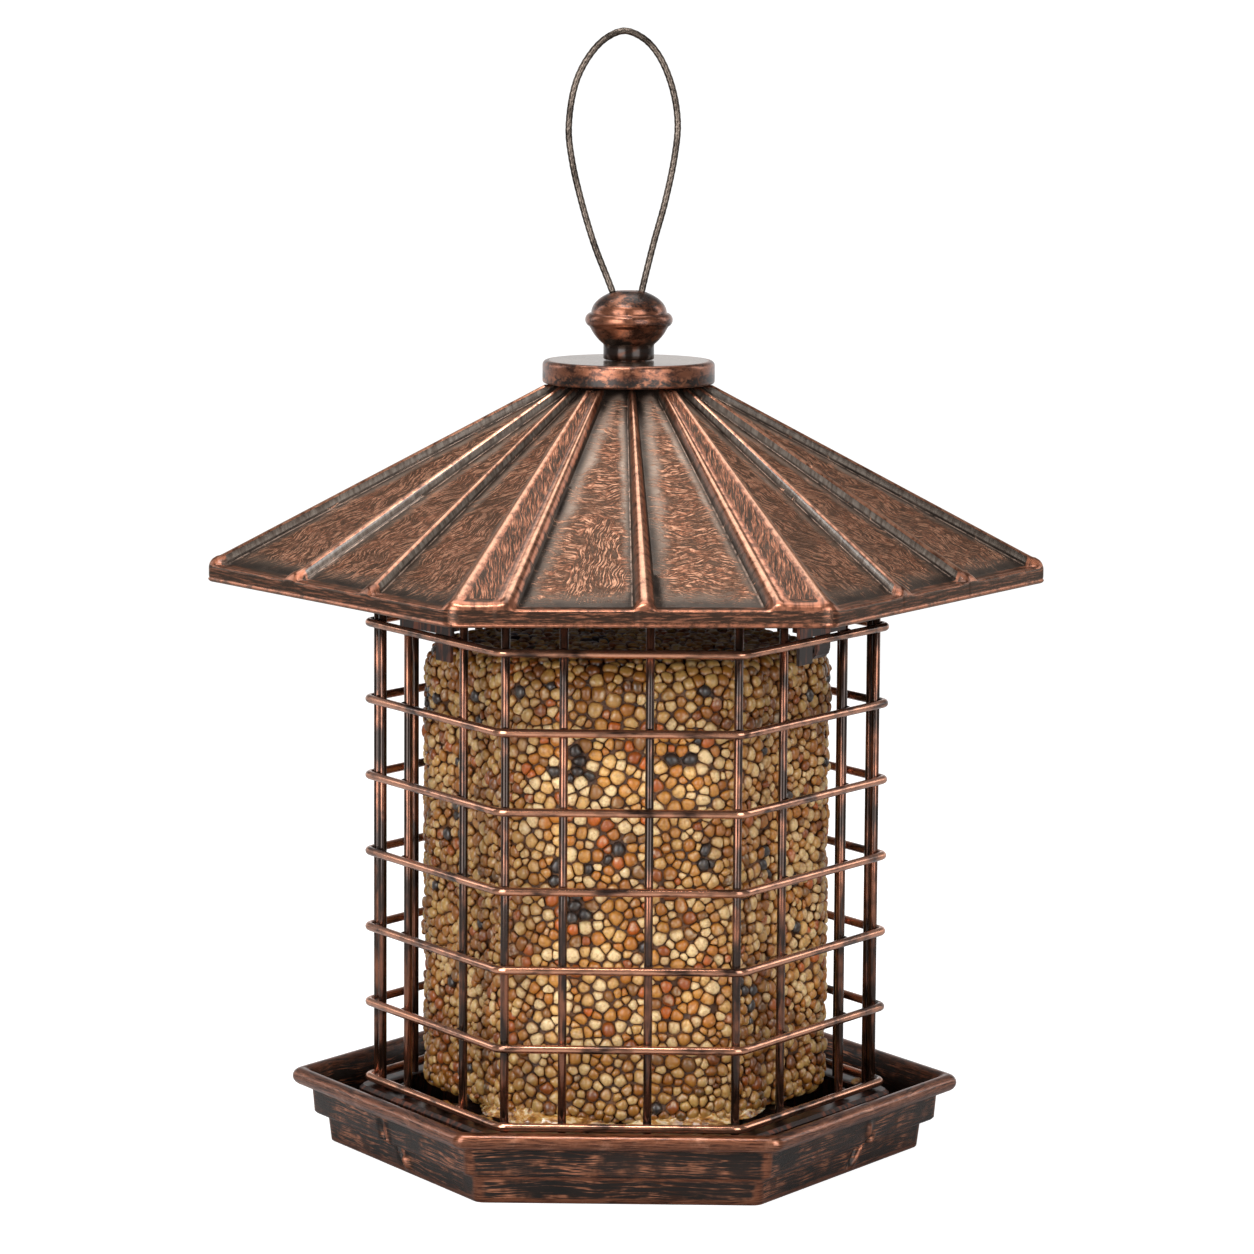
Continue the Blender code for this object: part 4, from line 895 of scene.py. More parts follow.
def tray_profile():
    """From the raised middle of the bottom to the end of the rolled rim: (inset, height, wear)."""
    foot_inset, foot_bend, wall_lean = 9.6 * MM, 0.8 * MM, 0.8 * MM
    ledge, ledge_bend = 8.6 * MM, 0.6 * MM
    step_inset, step_round, upper_lean, upper_rise = 5.3 * MM, 0.6 * MM, 0.5 * MM, 6.4 * MM
    profile = [(26.0 * MM, 3.0 * MM, 0.0), (23.0 * MM, 0.0, 0.1), (foot_inset + foot_bend, 0.0, 0.4)]
    profile += [(foot_inset + foot_bend - across, height, 0.9)
                for across, height in arc((0.0, foot_bend), foot_bend, -80.0, 0.0, 4)]
    wall_rise = ledge - foot_bend - ledge_bend
    wall_wear = ((0.08, 0.85), (0.16, 0.3), (0.3, 0.0), (0.5, 0.0), (0.74, 0.0), (0.82, 0.3), (0.93, 0.85))
    profile += [(foot_inset - wall_lean * share, foot_bend + wall_rise * share, wear)
                for share, wear in wall_wear]
    profile += [(inset, height, 0.95) for inset, height in
                arc((foot_inset - wall_lean - ledge_bend, ledge - ledge_bend), ledge_bend, 0.0, 90.0, 3)]
    profile += [(7.4 * MM, ledge, 0.6), (6.4 * MM, ledge, 0.25), (5.9 * MM, ledge, 0.0)]
    upper_wear = ((0.0, 0.0), (0.1, 0.55), (0.2, 0.1), (0.32, 0.0), (0.44, 0.0), (0.56, 0.0), (0.68, 0.0),
                  (0.8, 0.0), (1.0, 0.1))
    profile += [(step_inset - upper_lean * share, ledge + step_round + upper_rise * share, wear)
                for share, wear in upper_wear]
    rim = TRAY_TOP - TRAY_RIM_BEAD_RADIUS
    curl = arc((0.0, 0.0), TRAY_RIM_BEAD_RADIUS - TRAY_SHEET / 2.0, 250.0, -100.0, 18)[5:]
    return profile + [(TRAY_RIM_BEAD_RADIUS - across, rim + up, 0.95 if across > -0.8 * MM else 0.6)
                      for across, up in curl]


def build_tray():
    """The stepped pan with its rolled rim, rubbed bright along its edges and dented at two places."""
    plan = hexagon(TRAY_CORNER_RADIUS, TRAY_FRONT_HALF_SIDE)
    points, wear, along = [], [], []
    for inset, height, rub in tray_profile():
        corners = grown(plan, -inset)
        ring = []
        for spot in rounded(corners, TRAY_CORNER_BEND, 6, 72):
            near = min((spot - corner).length for corner in corners)
            wear.append(max(rub, 1.05 * max(0.0, 1.0 - near / (4.4 * MM)) if rub < 0.9 else rub))
            side = side_number(spot)
            start, end = side_of(corners, side)
            mark = SIDE_MARK * side + (spot - start).length
            along.append((mark, height, 0.0))
            ahead = (end - start).normalized()
            push = dent_push(mark, height)
            ring.append((spot.x + ahead.y * push, spot.y - ahead.x * push, height))
        points.append(ring)
    mesh = grid_mesh("tray_skin", points)
    with edited(mesh) as builder:
        builder.faces.new(list(builder.verts)[:len(points[0])][::-1])
    store(mesh, "wear", wear)
    store(mesh, "along", along, "FLOAT_VECTOR")
    finish = worn_copper_finish("tray_copper", dark=0.055, dents=TRAY_DENTS)
    thicken(add_piece("tray_skin", mesh, "cage", (finish,), ("tray_pan",)), TRAY_SHEET)


def block_outline(spacing):
    """Points round the block's wall with their outward directions, in equal steps."""
    plan = hexagon(BLOCK_CORNER_RADIUS, BLOCK_FRONT_HALF_SIDE)
    ring = rounded(plan, BLOCK_CORNER_BEND, 24)
    path = resampled([Vector((p.x, p.y, 0.0)) for p in ring + ring[:1]], spacing)[:-1]
    places = []
    for index, point in enumerate(path):
        ahead = (path[(index + 1) % len(path)] - path[index - 1]).normalized()
        places.append((point, Vector((ahead.y, -ahead.x, 0.0))))
    return places


def block_profile(spacing):
    """(inset, height, tilt) up the block: the foot's round, the wall and the shoulder."""

    def bend(radius, centre, start, end, steps):
        tilts = np.radians(np.linspace(start, end, steps + 1))
        return [(radius - reach, centre + rise, tilt)
                for (reach, rise), tilt in zip(arc((0.0, 0.0), radius, start, end, steps), tilts)]

    wall_low, wall_high = BLOCK_BOTTOM + BLOCK_FOOT_ROUND, BLOCK_TOP - BLOCK_SHOULDER_ROUND
    levels = bend(BLOCK_FOOT_ROUND, wall_low, -70.0, 0.0, 4)
    levels += [(0.0, height, 0.0) for height in np.arange(wall_low, wall_high, spacing)[1:]]
    return levels + bend(BLOCK_SHOULDER_ROUND, wall_high, 0.0, 84.0, 12)


def lump(column, row):
    """How far the block's skin stands out at a point of its coarse grid, as on the solid."""
    uneven = math.sin(2.4 * column + 1.7 * row + 0.9 * column * row)
    raised = 1.0 if (column + row) % 2 else -1.0
    return LUMP_HEIGHT * (0.55 * raised + 0.45 * uneven)


def lump_at(round_share, height):
    """The coarse lumps between their grid's points, at a share of the way round and a height."""
    wall_low, wall_high = BLOCK_BOTTOM + BLOCK_FOOT_ROUND, BLOCK_TOP - BLOCK_SHOULDER_ROUND
    rows = round((wall_high - wall_low) / LUMP_SPACING)
    row = 1.0 + (height - wall_low) / (wall_high - wall_low) * rows
    column = round_share * LUMP_COLUMNS
    low_row, low_column = math.floor(row), math.floor(column)
    up, across = row - low_row, column - low_column

    def along(row_number):
        left, right = (lump((low_column + more) % LUMP_COLUMNS, row_number) for more in (0, 1))
        return left * (1.0 - across) + right * across

    faded = min(1.0, max(0.0, 1.0 + (height - wall_low) / BLOCK_FOOT_ROUND),
                max(0.0, 1.0 - (height - wall_high) / BLOCK_SHOULDER_ROUND))
    return (along(low_row) * (1.0 - up) + along(low_row + 1) * up) * faded


def cell_of(place):
    """The cell that a place lies in."""
    return tuple(math.floor(distance / SEED_CELL) for distance in place)


def neighbours(grid, cell):
    """What the grid holds in a cell and in the 26 round it."""
    x, y, z = cell
    for dx, dy, dz in itertools.product((-1, 0, 1), repeat=3):
        yield from grid.get((x + dx, y + dy, z + dz), ())


def seed_places(chance):
    """Places, outward directions and radii of the seeds: big ones first, then small ones in the gaps."""
    walls = block_outline(0.5 * MM)
    levels = block_profile(0.5 * MM)
    top_corner, top_side, *_ = hexagon(BLOCK_CORNER_RADIUS - BLOCK_SHOULDER_ROUND, BLOCK_FRONT_HALF_SIDE)
    kept, grid = [], {}
    slant_x, slant_y = 0.834, 0.552
    for tries, low, high in SEED_SIZES:
        for spot in chance.random((tries, 5)):
            radius = low + (high - low) * spot[0] ** 1.6
            if spot[4] < SEEDS_ON_TOP:
                x, y = (spot[1] * 2.0 - 1.0) * top_corner.x, (spot[2] * 2.0 - 1.0) * top_corner.x
                if abs(x) * slant_x + abs(y) * slant_y > top_corner.x * slant_x or abs(y) > top_side.y:
                    continue
                place, outward = Vector((x, y, BLOCK_TOP)), Vector((0.0, 0.0, 1.0))
            else:
                point, direction = walls[int(spot[1] * len(walls))]
                inset, height, tilt = levels[int(spot[2] * len(levels))]
                inset -= lump_at(spot[1], height)
                place = Vector((point.x, point.y, height)) - direction * inset
                outward = direction * math.cos(tilt) + Vector((0.0, 0.0, math.sin(tilt)))
            cell = cell_of(place)
            near = neighbours(grid, cell)
            if all((other - place).length >= SEED_NEARNESS * (radius + reach) for other, reach in near):
                grid.setdefault(cell, []).append((place, radius))
                kept.append((place, outward, radius))
    return kept, grid


def pillow():
    """Heights and reach shares of an open-bottomed pillow's rings, and its faces."""
    levels = [(math.sin(math.radians(angle)) ** 0.72, math.cos(math.radians(angle))) for angle in SEED_RINGS]
    faces = []
    for step in range(SEED_SIDES):
        following = (step + 1) % SEED_SIDES
        faces.append((0, 1 + step, 1 + following, 1 + following))
        for ring in range(len(SEED_RINGS) - 2):
            low = 1 + ring * SEED_SIDES
            high = low + SEED_SIDES
            faces.append((low + step, high + step, high + following, low + following))
    return levels, faces


def reach_round(place, radius, side, other, near, turns):
    """How far a seed spreads in each direction until it meets the seeds round it, with rounded corners."""
    cosines, sines = np.cos(turns), np.sin(turns)
    squeezed = np.full(len(turns), (1.0 / (1.50 * radius)) ** 9)
    for spot, reach in near:
        offset = spot - place
        across, up = offset.dot(side), offset.dot(other)
        distance = math.hypot(across, up)
        if distance < 0.2 * MM:
            continue
        border = distance / 2.0 + (radius * radius - reach * reach) / (2.0 * distance) - 0.07 * MM
        toward = (cosines * across + sines * up) / distance
        squeezed += (np.maximum(toward, 0.0) / max(border, 0.25 * radius)) ** 9
    return squeezed ** (-1.0 / 9.0)


def seed_mesh(name, places, grid, chance):
    """One mesh of many seeds, each a pillow that fills the room between its neighbours, with its own tone."""
    levels, faces = pillow()
    turns = np.linspace(0.0, 2.0 * math.pi, SEED_SIDES, endpoint=False)
    count = 1 + SEED_SIDES * (len(levels) - 1)
    points, tones, shades, wet_and_shade_values = [], [], [], []
    for place, outward, radius in places:
        numbers = chance.random(12)
        side = outward.orthogonal().normalized()
        side = Matrix.Rotation(numbers[6] * 6.283, 3, outward) @ side
        other = outward.cross(side)
        reach = reach_round(place, radius, side, other, neighbours(grid, cell_of(place)), turns)
        tall = radius * (0.66 + 0.34 * numbers[1])
        sink = 0.8 * MM * numbers[8] ** 2.5
        middle = np.array(place + outward * (0.15 * MM - tall - sink))
        lean = np.array(side * (numbers[2] - 0.5) + other * (numbers[3] - 0.5)) * 0.5
        axes = np.outer(np.cos(turns), np.array(side)) + np.outer(np.sin(turns), np.array(other))
        flat = np.array(outward)
        rows = [middle + flat * tall]
        for share, up in levels[1:]:
            ring = axes * (reach * share)[:, None]
            tipped = ring @ lean * share * 0.6
            rows.extend(middle + ring + np.outer(np.full(SEED_SIDES, up * tall) + tipped * (up > 0.0), flat))
        points.append(np.array(rows))
        tones.append(np.full(count, seed_tone(place, numbers)))
        crown = np.repeat([up for _, up in levels[1:]], SEED_SIDES)
        # Painted shade for each seed: darker from its crown to its foot, and darker for seeds that sit deeper
        dip = 0.02 + 0.22 * numbers[4] + 0.22 * numbers[8] ** 2.5
        shades.append(np.concatenate([[dip], dip + (1.0 - crown) * 0.52]))
        wet_and_shade_values.append(np.full(count, wet_and_shaded(place, outward)))
    offsets = np.arange(len(places)) * count
    all_faces = (np.array(faces)[None, :, :] + offsets[:, None, None]).reshape(-1, 4)
    mesh = bpy.data.meshes.new(name)
    mesh.from_pydata(np.concatenate(points).tolist(), [],
                     [row if row[2] != row[3] else row[:3] for row in all_faces.tolist()])
    for attribute, values in (("tone", tones), ("shade", shades), ("wet_and_shade", wet_and_shade_values)):
        store(mesh, attribute, np.concatenate(values))
    return mesh


def seed_tone(place, numbers):
    """A seed's place in the colour stops, with clumps of black and of orange ones."""
    if numbers[10] > 0.988 or numbers[10] > 0.55 and noise.noise(place * 62.0) > 0.44:
        return BLACK_TONE
    if numbers[10] < 0.30 and noise.noise(place * 48.0 + Vector((3.0, 7.0, 1.0))) > 0.34:
        return ORANGE_TONE + 0.12 * numbers[11]
    return numbers[9] * 0.90


def wet_and_shaded(place, outward):
    """How wet with fat a seed is in random patches, and painted shade that is most at the shoulder under the
    roof, round the foot and away from the front.
    """
    up = (place.z - BLOCK_BOTTOM) / (BLOCK_TOP - BLOCK_BOTTOM)
    # Painted shade: the shoulder under the roof, the foot and the sides away from the front, the left side
    # most; the noise gives random wet patches
    top = within((up - 0.80) / 0.18)
    foot = within((0.24 - up) / 0.22)
    aside = within((abs(outward.x) - 0.35) / 0.4) * (0.80 if outward.x < 0.0 else 0.50)
    return within(0.10 + noise.noise(place * 30.0) * 0.7 + 1.35 * top + 1.15 * foot + aside)


def build_block():
    """The pressed block: separate seeds over a lumpy body of binder."""
    chance = np.random.default_rng(7)
    husks = seed_finish()
    sectors = [[] for _ in range(SIDES + 1)]
    seeds, grid = seed_places(chance)
    for place, outward, radius in seeds:
        sectors[SIDES if outward.z > 0.7 else side_number(place)].append((place, outward, radius))
    for number, places in enumerate(sectors):
        name = "seeds_top" if number == SIDES else "seeds_side_%d" % (number + 1)
        mesh = seed_mesh(name, places, grid, chance)
        add_piece(name, mesh, "block", (husks,), ("seed_block",), 0.0)
    outline = block_outline(1.5 * MM)
    rows = []
    under = 1.6 * MM
    for inset, height, tilt in block_profile(1.6 * MM):
        row = []
        for number, (point, direction) in enumerate(outline):
            inward = inset - lump_at(number / len(outline), height) + under * math.cos(tilt)
            spot = Vector((point.x, point.y, height - under * math.sin(tilt))) - direction * inward
            row.append(spot + direction * 0.4 * MM * noise.noise(spot * 420.0))
        rows.append(row)
    mesh = close_ends(grid_mesh("seed_binder", rows), len(outline))
    add_piece("seed_binder", mesh, "block", (binder_finish(),), ("seed_block",))


def build_loose_seeds():
    """A few seeds that have dropped onto the base's flange inside the wires."""
    chance = np.random.default_rng(11)
    plan = grown(hexagon(CAGE_CORNER_RADIUS, CAGE_FRONT_HALF_SIDE), -3.4 * MM)
    wires = upright_places()
    places, grid = [], {}
    while len(places) < 22:
        spot = chance.random(4)
        start, end = side_of(plan, (3, 4, 4, 5, 3, 0, 2)[int(spot[0] * 7)])
        on_flange = start.lerp(end, 0.06 + 0.88 * spot[1])
        radius = (1.1 + 0.4 * spot[2]) * MM
        place = Vector((on_flange.x, on_flange.y, BASE_TOP + 1.5 * radius))
        if min((wire - on_flange).length for wire in wires) < radius + 1.6 * MM:
            continue
        if min([(other - place).length - reach for other, _, reach in places], default=1.0) < radius:
            continue
        places.append((place, Vector((spot[3] - 0.5, spot[2] - 0.5, 1.4)).normalized(), radius))
    mesh = seed_mesh("loose_seeds", places, grid, chance)
    add_piece("loose_seeds", mesh, "cage", (bpy.data.materials["seed_husks"],), (), 0.0)


def fat_finish():
    """Amber fat with crushed husks in it, wet looking."""
    look = Finish("seed_fat")
    swirl = look.grain(look.wavy(look.place, 90.0, 10.0 * MM), (260.0, 260.0, 700.0), 4.0)
    colour = look.ramp(swirl, [(0.30, rgb(62, 34, 10)), (0.43, rgb(140, 88, 30)), (0.54, rgb(190, 142, 74)),
                               (0.64, rgb(226, 204, 162)), (0.76, rgb(118, 70, 24))])
    look.set(Base_Color=colour, Roughness=look.blend(swirl, 0.10, 0.34), Coat_Weight=0.8, Coat_Roughness=0.06)
    look.set(Normal=look.bump(swirl, 0.6 * MM, 0.8), Subsurface_Weight=0.15, Subsurface_Scale=2.0 * MM)
    return look.made


def build_fat():
    """Fat pressed out round the block's foot at its two front corners."""
    spacing, half_length, layers = 1.1 * MM, 24, 8
    reach, thickness, tucked_in = 5.0 * MM, 4.0 * MM, 2.2 * MM
    outline = block_outline(spacing)
    plan = hexagon(BLOCK_CORNER_RADIUS, BLOCK_FRONT_HALF_SIDE)
    pieces = []
    for corner in (4, 5):
        near = min(range(len(outline)), key=lambda i: (outline[i][0].xy - plan[corner]).length)
        sections = []
        for step in range(-half_length, half_length + 1):
            point, direction = outline[(near + step) % len(outline)]
            fade = math.cos(math.pi / 2.0 * step / (half_length + 0.5)) ** 0.7
            ragged = 0.75 + 0.9 * noise.noise(Vector((point.x, point.y, 0.0)) * 120.0)
            top, foot = [], []
            for layer in range(layers):
                share = layer / (layers - 1.0)
                spot = point + direction * (reach * share * fade * ragged - tucked_in)
                swell = 1.0 + 0.5 * noise.noise(Vector((spot.x, spot.y, 0.4)) * 420.0)
                rise = thickness * fade * swell * (1.0 - share ** 1.4) + 0.2 * MM
                top.append((spot.x, spot.y, BLOCK_BOTTOM + rise))
                foot.append((spot.x, spot.y, BLOCK_BOTTOM + 0.1 * MM))
            sections.append(top + foot[::-1])
        pieces.append(grid_mesh("fat", sections))
    add_piece("seed_fat", joined("seed_fat", pieces), "block", (fat_finish(),), (), 0.0)


def upright_places():
    """Corners first, then two along each side, then the second wire of each side corner."""
    plan = grown(hexagon(CAGE_CORNER_RADIUS, CAGE_FRONT_HALF_SIDE), -(2.0 * WIRE_RADIUS + WELD_GAP))
    places = list(plan)
    shares = {0: (0.682, 0.245), 1: (0.25, 0.62), 3: (0.682, 0.245), 4: (0.25, 0.62)}
    for index in range(SIDES):
        start, end = side_of(plan, index)
        places += [start.lerp(end, share) for share in shares.get(index, (0.318, 0.755))]
    for index in (0, 3):
        start, end = side_of(plan, index)
        places.append(start + (end - start).normalized() * (2.0 * WIRE_RADIUS + WELD_GAP))
    return places


def build_cage():
    """Rings, uprights and the welds between them."""
    plan = hexagon(CAGE_CORNER_RADIUS, CAGE_FRONT_HALF_SIDE)
    ring_plan = rounded(plan, RING_CORNER_BEND, 6, 4)
    rings = [closed_tube([Vector((spot.x, spot.y, height)) for spot in ring_plan], WIRE_RADIUS, WIRE_SIDES)
             for height in RING_HEIGHTS]
    uprights = []
    low = BASE_TOP + WELD_GAP
    for number, place in enumerate(upright_places()):
        top = SIDE_CORNER_TOP if number in (0, 3) else UPRIGHT_TOP
        ends = ((low, 0.94), (low + 0.2 * MM, 1.0), (top - 0.4 * MM, 1.0), (top - 0.1 * MM, 0.82), (top, 0.4))
        rows = [[(place.x + WIRE_RADIUS * share * cosine, place.y + WIRE_RADIUS * share * sine, height)
                 for cosine, sine in circle(WIRE_SIDES)] for height, share in ends]
        uprights.append(close_ends(grid_mesh("upright", rows), WIRE_SIDES))
    welds = [weld(place, to_ring(plan, place), height)
             for place in upright_places() for height in RING_HEIGHTS]
    ring_finish = wire_finish("ring_bronze", rgb(56, 36, 28), rgb(220, 156, 124), 0.38, 0.56,
                              (90.0, 90.0, 700.0))
    upright_finish = wire_finish("upright_bronze", rgb(44, 30, 23), rgb(142, 92, 70), 0.45, 0.62,
                                 (700.0, 700.0, 60.0))
    upright_names = ["wire_upright_%02d" % number for number in range(1, 21)]
    for name, meshes, finish, replaced, smooth_angle in (
            ("cage_rings", rings, ring_finish, RINGS, 0.0),
            ("cage_uprights", uprights, upright_finish, upright_names, 50.0),
            ("cage_welds", welds, upright_finish, (), 0.0)):
        add_piece(name, joined(name, meshes), "cage", (finish,), replaced, smooth_angle)


def to_ring(plan, place):
    """The unit direction from an upright to the ring's nearest wire."""
    spots = []
    for index in range(SIDES):
        start, end = side_of(plan, index)
        along = (end - start).normalized()
        spots.append(start + along * within((place - start).dot(along), 0.0, (end - start).length))
    return (min(spots, key=lambda spot: (spot - place).length) - place).normalized()


def weld(place, outward, height):
    """A small fused lump between an upright and a ring."""
    mesh = primitive("weld", bmesh.ops.create_uvsphere, u_segments=10, v_segments=7, radius=1.0)
    middle = place + outward * (WIRE_RADIUS + WELD_GAP / 2.0)
    reach = WIRE_RADIUS * 1.05
    size = Matrix.Diagonal((reach * 0.9, reach * 1.25, reach * 1.1, 1.0))
    facing = Matrix.Rotation(math.atan2(outward.y, outward.x), 4, "Z")
    mesh.transform(Matrix.Translation((middle.x, middle.y, height)) @ facing @ size)
    return mesh


def build_cap():
    """The thick washer under the finial, polished on top and worn along its edges. Its top is painted pale as
    a painted sheen, and its wall darker towards the bottom as a painted reflection of the dark below.
    """
    edge = 1.4 * MM
    lower_edge = edge / 2.0
    hole = STUD_RADIUS + WELD_GAP
    wall = CAP_TOP - CAP_BOTTOM - 2.0 * edge
    # A top face with wear 2.0 is painted pale: polished, with a painted sheen
    profile = [(hole, CAP_TOP - 0.5 * MM, 0.1), (hole, CAP_TOP, 2.0), (12.0 * MM, CAP_TOP, 2.0)]
    profile += [(CAP_RADIUS - edge * 1.6, CAP_TOP, 2.0), (CAP_RADIUS - edge * 1.2, CAP_TOP, 1.1)]
    profile += [(*point, 0.95) for point in arc((CAP_RADIUS - edge, CAP_TOP - edge), edge, 90.0, 0.0, 6)]
    # The wall's wear falls towards the bottom: a painted reflection of the dark below
    profile += [(CAP_RADIUS, CAP_TOP - edge - wall * share, rub)
                for share, rub in ((0.25, 0.84), (0.6, 0.58), (1.0, 0.36))]
    profile += [(*point, 0.55) for point in
                arc((CAP_RADIUS - lower_edge, CAP_BOTTOM + lower_edge), lower_edge, 0.0, -90.0, 4)]
    mesh = turned_mesh("cap_skin", profile + [(hole, CAP_BOTTOM, 0.0)], 96)
    finish = worn_copper_finish("finial_copper", (240.0, 240.0, 420.0), -0.02, 0.23, 1400.0, 0.24)
    add_piece("cap_skin", mesh, "roof", (finish,), ("cap_disc",))


def finial_profile():
    """From the dome's top down to the stud's end and up inside it: (radius, height, wear)."""
    foot = FINIAL_FOOT
    height = FINIAL_TOP - foot
    bead_low, bead_high = foot + 0.47 * height, foot + 0.68 * height
    bead = (bead_high - bead_low) / 2.0
    dome_foot, dome_full, dome_rise = FINIAL_DOME_RADIUS * 1.04, 0.9135, (FINIAL_TOP - bead_high) * 0.972
    tiny, hollow = 0.1 * MM, 3.1 * MM
    profile = [(tiny, FINIAL_TOP, 0.1), (2.0 * MM, FINIAL_TOP - 0.03 * MM, 0.2)]
    profile += [(3.6 * MM, FINIAL_TOP - tiny, 0.2)]
    profile += [(dome_foot * across ** 1.12, bead_high + dome_rise * (up / dome_full) ** 1.04,
                 0.86 if up < 0.30 else 0.52) for across, up in arc((0.0, 0.0), 1.0, 66.0, 0.0, 16)]
    profile += [(dome_foot + 0.3 * MM, bead_high - 0.3 * MM, 0.6)]
    profile += [(*point, 0.90) for point in
                arc((FINIAL_BEAD_RADIUS - bead, (bead_low + bead_high) / 2.0), bead, 64.0, -64.0, 12)]
    bowl = ((11.3, 9.1), (11.0, 8.5), (10.4, 7.5), (9.7, 6.6), (9.0, 5.8), (8.3, 5.1), (7.7, 4.6))
    profile += [(across * MM, foot + up * MM, 0.70 if up > 6.5 else 0.35) for across, up in bowl]
    profile += [(FINIAL_NECK_RADIUS, foot + up * MM, -0.3) for up in (4.3, 3.0, 1.5, 0.3)]
    inner = [(FINIAL_NECK_RADIUS - 0.3 * MM, foot), (STUD_RADIUS, foot), (STUD_RADIUS, STUD_BOTTOM)]
    inner += [(hollow, STUD_BOTTOM), (hollow, bead_low), (tiny, bead_low + 1.5 * MM)]
    return profile + [(*point, 0.0) for point in inner]


def build_finial():
    """The knob and its stud, with the cable's two slanted holes bored through."""
    steps = 72
    mesh = close_ends(turned_mesh("finial_skin", finial_profile(), steps), steps)
    finish = worn_copper_finish("finial_bead_copper", (150.0, 150.0, 300.0), -0.01, 0.20, 1300.0, 0.22)
    piece = add_piece("finial_skin", mesh, None, (finish,), ("finial",))
    for left in (True, False):
        inside, mouth = cable_hole(left)
        along = (mouth - inside).normalized()
        cut(piece, inside - along * (0.8 * MM), mouth + along * (2.0 * MM), CABLE_HOLE_RADIUS)
    piece.data.set_sharp_from_angle(angle=math.radians(50.0))
    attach(piece, "roof")


def cut(piece, low, high, radius):
    """Bores a round hole through a piece."""
    axis = high - low
    mesh = primitive("bore", bmesh.ops.create_cone, cap_ends=True, segments=24, radius1=radius,
                     radius2=radius, depth=axis.length)
    turn = Vector((0.0, 0.0, 1.0)).rotation_difference(axis.normalized()).to_matrix().to_4x4()
    mesh.transform(Matrix.Translation((low + high) / 2.0) @ turn)
    bore = linked("bore", mesh)
    tool = piece.modifiers.new("bore", "BOOLEAN")
    tool.operation = "DIFFERENCE"
    tool.solver = "EXACT"
    tool.object = bore
    bpy.context.view_layer.update()
    made = bpy.data.meshes.new_from_object(piece.evaluated_get(bpy.context.evaluated_depsgraph_get()))
    piece.modifiers.clear()
    piece.data = made
    bpy.data.objects.remove(bore)


def cable_hole(left):
    """The inner end and the mouth of one of the finial's two slanted holes."""
    mouth_height = FINIAL_FOOT + CABLE_HOLE_RISE
    side, offset = (-1.0, LEFT_HOLE_OFFSET) if left else (1.0, RIGHT_HOLE_OFFSET)
    inside = Vector((side * CABLE_SPACING / 2.0, 0.0, mouth_height - CABLE_HOLE_DEPTH))
    return inside, Vector((side * offset, 0.0, mouth_height))


def cable_route():
    """The route's points: left ferrule, finial, round the loop, finial, right ferrule."""
    corner = upright_places()[0].x
    half = CABLE_SPACING / 2.0
    left_inside, left_mouth = cable_hole(True)
    right_inside, right_mouth = cable_hole(False)
    leg = [
        (corner, SIDE_CORNER_TOP + 0.8 * MM),
        (corner, SIDE_CORNER_TOP + 6.5 * MM),
        (corner - 1.4 * MM, SIDE_CORNER_TOP + 10.2 * MM),
        (corner - 10.0 * MM, SIDE_CORNER_TOP + 15.6 * MM),
        (40.0 * MM, STUD_BOTTOM - 19.1 * MM),
        (13.0 * MM, STUD_BOTTOM - 9.6 * MM),
        (3.4 * MM, STUD_BOTTOM - 4.6 * MM),
        (half, STUD_BOTTOM + 0.4 * MM),
        (half, FINIAL_FOOT - 1.0 * MM)]
    # Across and up from the finial's foot, in millimetres
    loop = ((-10.3, 33.5), (-14.2, 46.3), (-16.9, 57.7), (-18.0, 67.6), (-16.0, 80.8), (-11.8, 89.1),
            (-7.0, 94.0), (-1.8, 96.0), (3.8, 93.8), (8.2, 89.0), (12.1, 80.1), (13.9, 69.6), (13.1, 59.7),
            (10.3, 45.9), (7.2, 34.5))
    left_leg = [Vector((-across, 0.0, height)) for across, height in leg]
    right_leg = [Vector((across, 0.0, height)) for across, height in reversed(leg)]
    over = [Vector((across * MM, 0.0, FINIAL_FOOT + up * MM)) for across, up in loop]
    return left_leg + [left_inside, left_mouth] + over + [right_mouth, right_inside] + right_leg


def smooth_path(points, per_span):
    """A centripetal curve through all the points."""

    def between(first, second, low, high, now):
        return first * ((high - now) / (high - low)) + second * ((now - low) / (high - low))

    padded = [points[0] * 2.0 - points[1], *points, points[-1] * 2.0 - points[-2]]
    path = []
    for index in range(len(points) - 1):
        four = padded[index:index + 4]
        knots = [0.0]
        for first, second in zip(four, four[1:]):
            knots.append(knots[-1] + math.sqrt((second - first).length))
        for step in range(per_span):
            now = knots[1] + (knots[2] - knots[1]) * step / per_span
            three = [between(*four[i:i + 2], knots[i], knots[i + 1], now) for i in range(3)]
            two = [between(*three[i:i + 2], knots[i], knots[i + 2], now) for i in range(2)]
            path.append(between(*two, knots[1], knots[2], now))
    return path + [points[-1]]


def runs_along(path):
    """The distance run at each of the path's points."""
    return np.concatenate([[0.0], np.cumsum([(b - a).length for a, b in zip(path, path[1:])])])


def resampled(path, pitch):
    """The path in equal steps."""
    runs = runs_along(path)
    wanted = np.linspace(0.0, runs[-1], max(2, round(runs[-1] / pitch)) + 1)
    coordinates = np.array([tuple(point) for point in path])
    return [Vector(point) for point in zip(*(np.interp(wanted, runs, values) for values in coordinates.T))]


def strand_lobes(turn, run):
    """Six strands laid round the cable."""
    lay = 12.5 * MM
    phase = 6.0 * (turn + 2.0 * math.pi * run / lay)
    return 0.80 + 0.22 * abs(math.cos(phase / 2.0)) ** 0.7


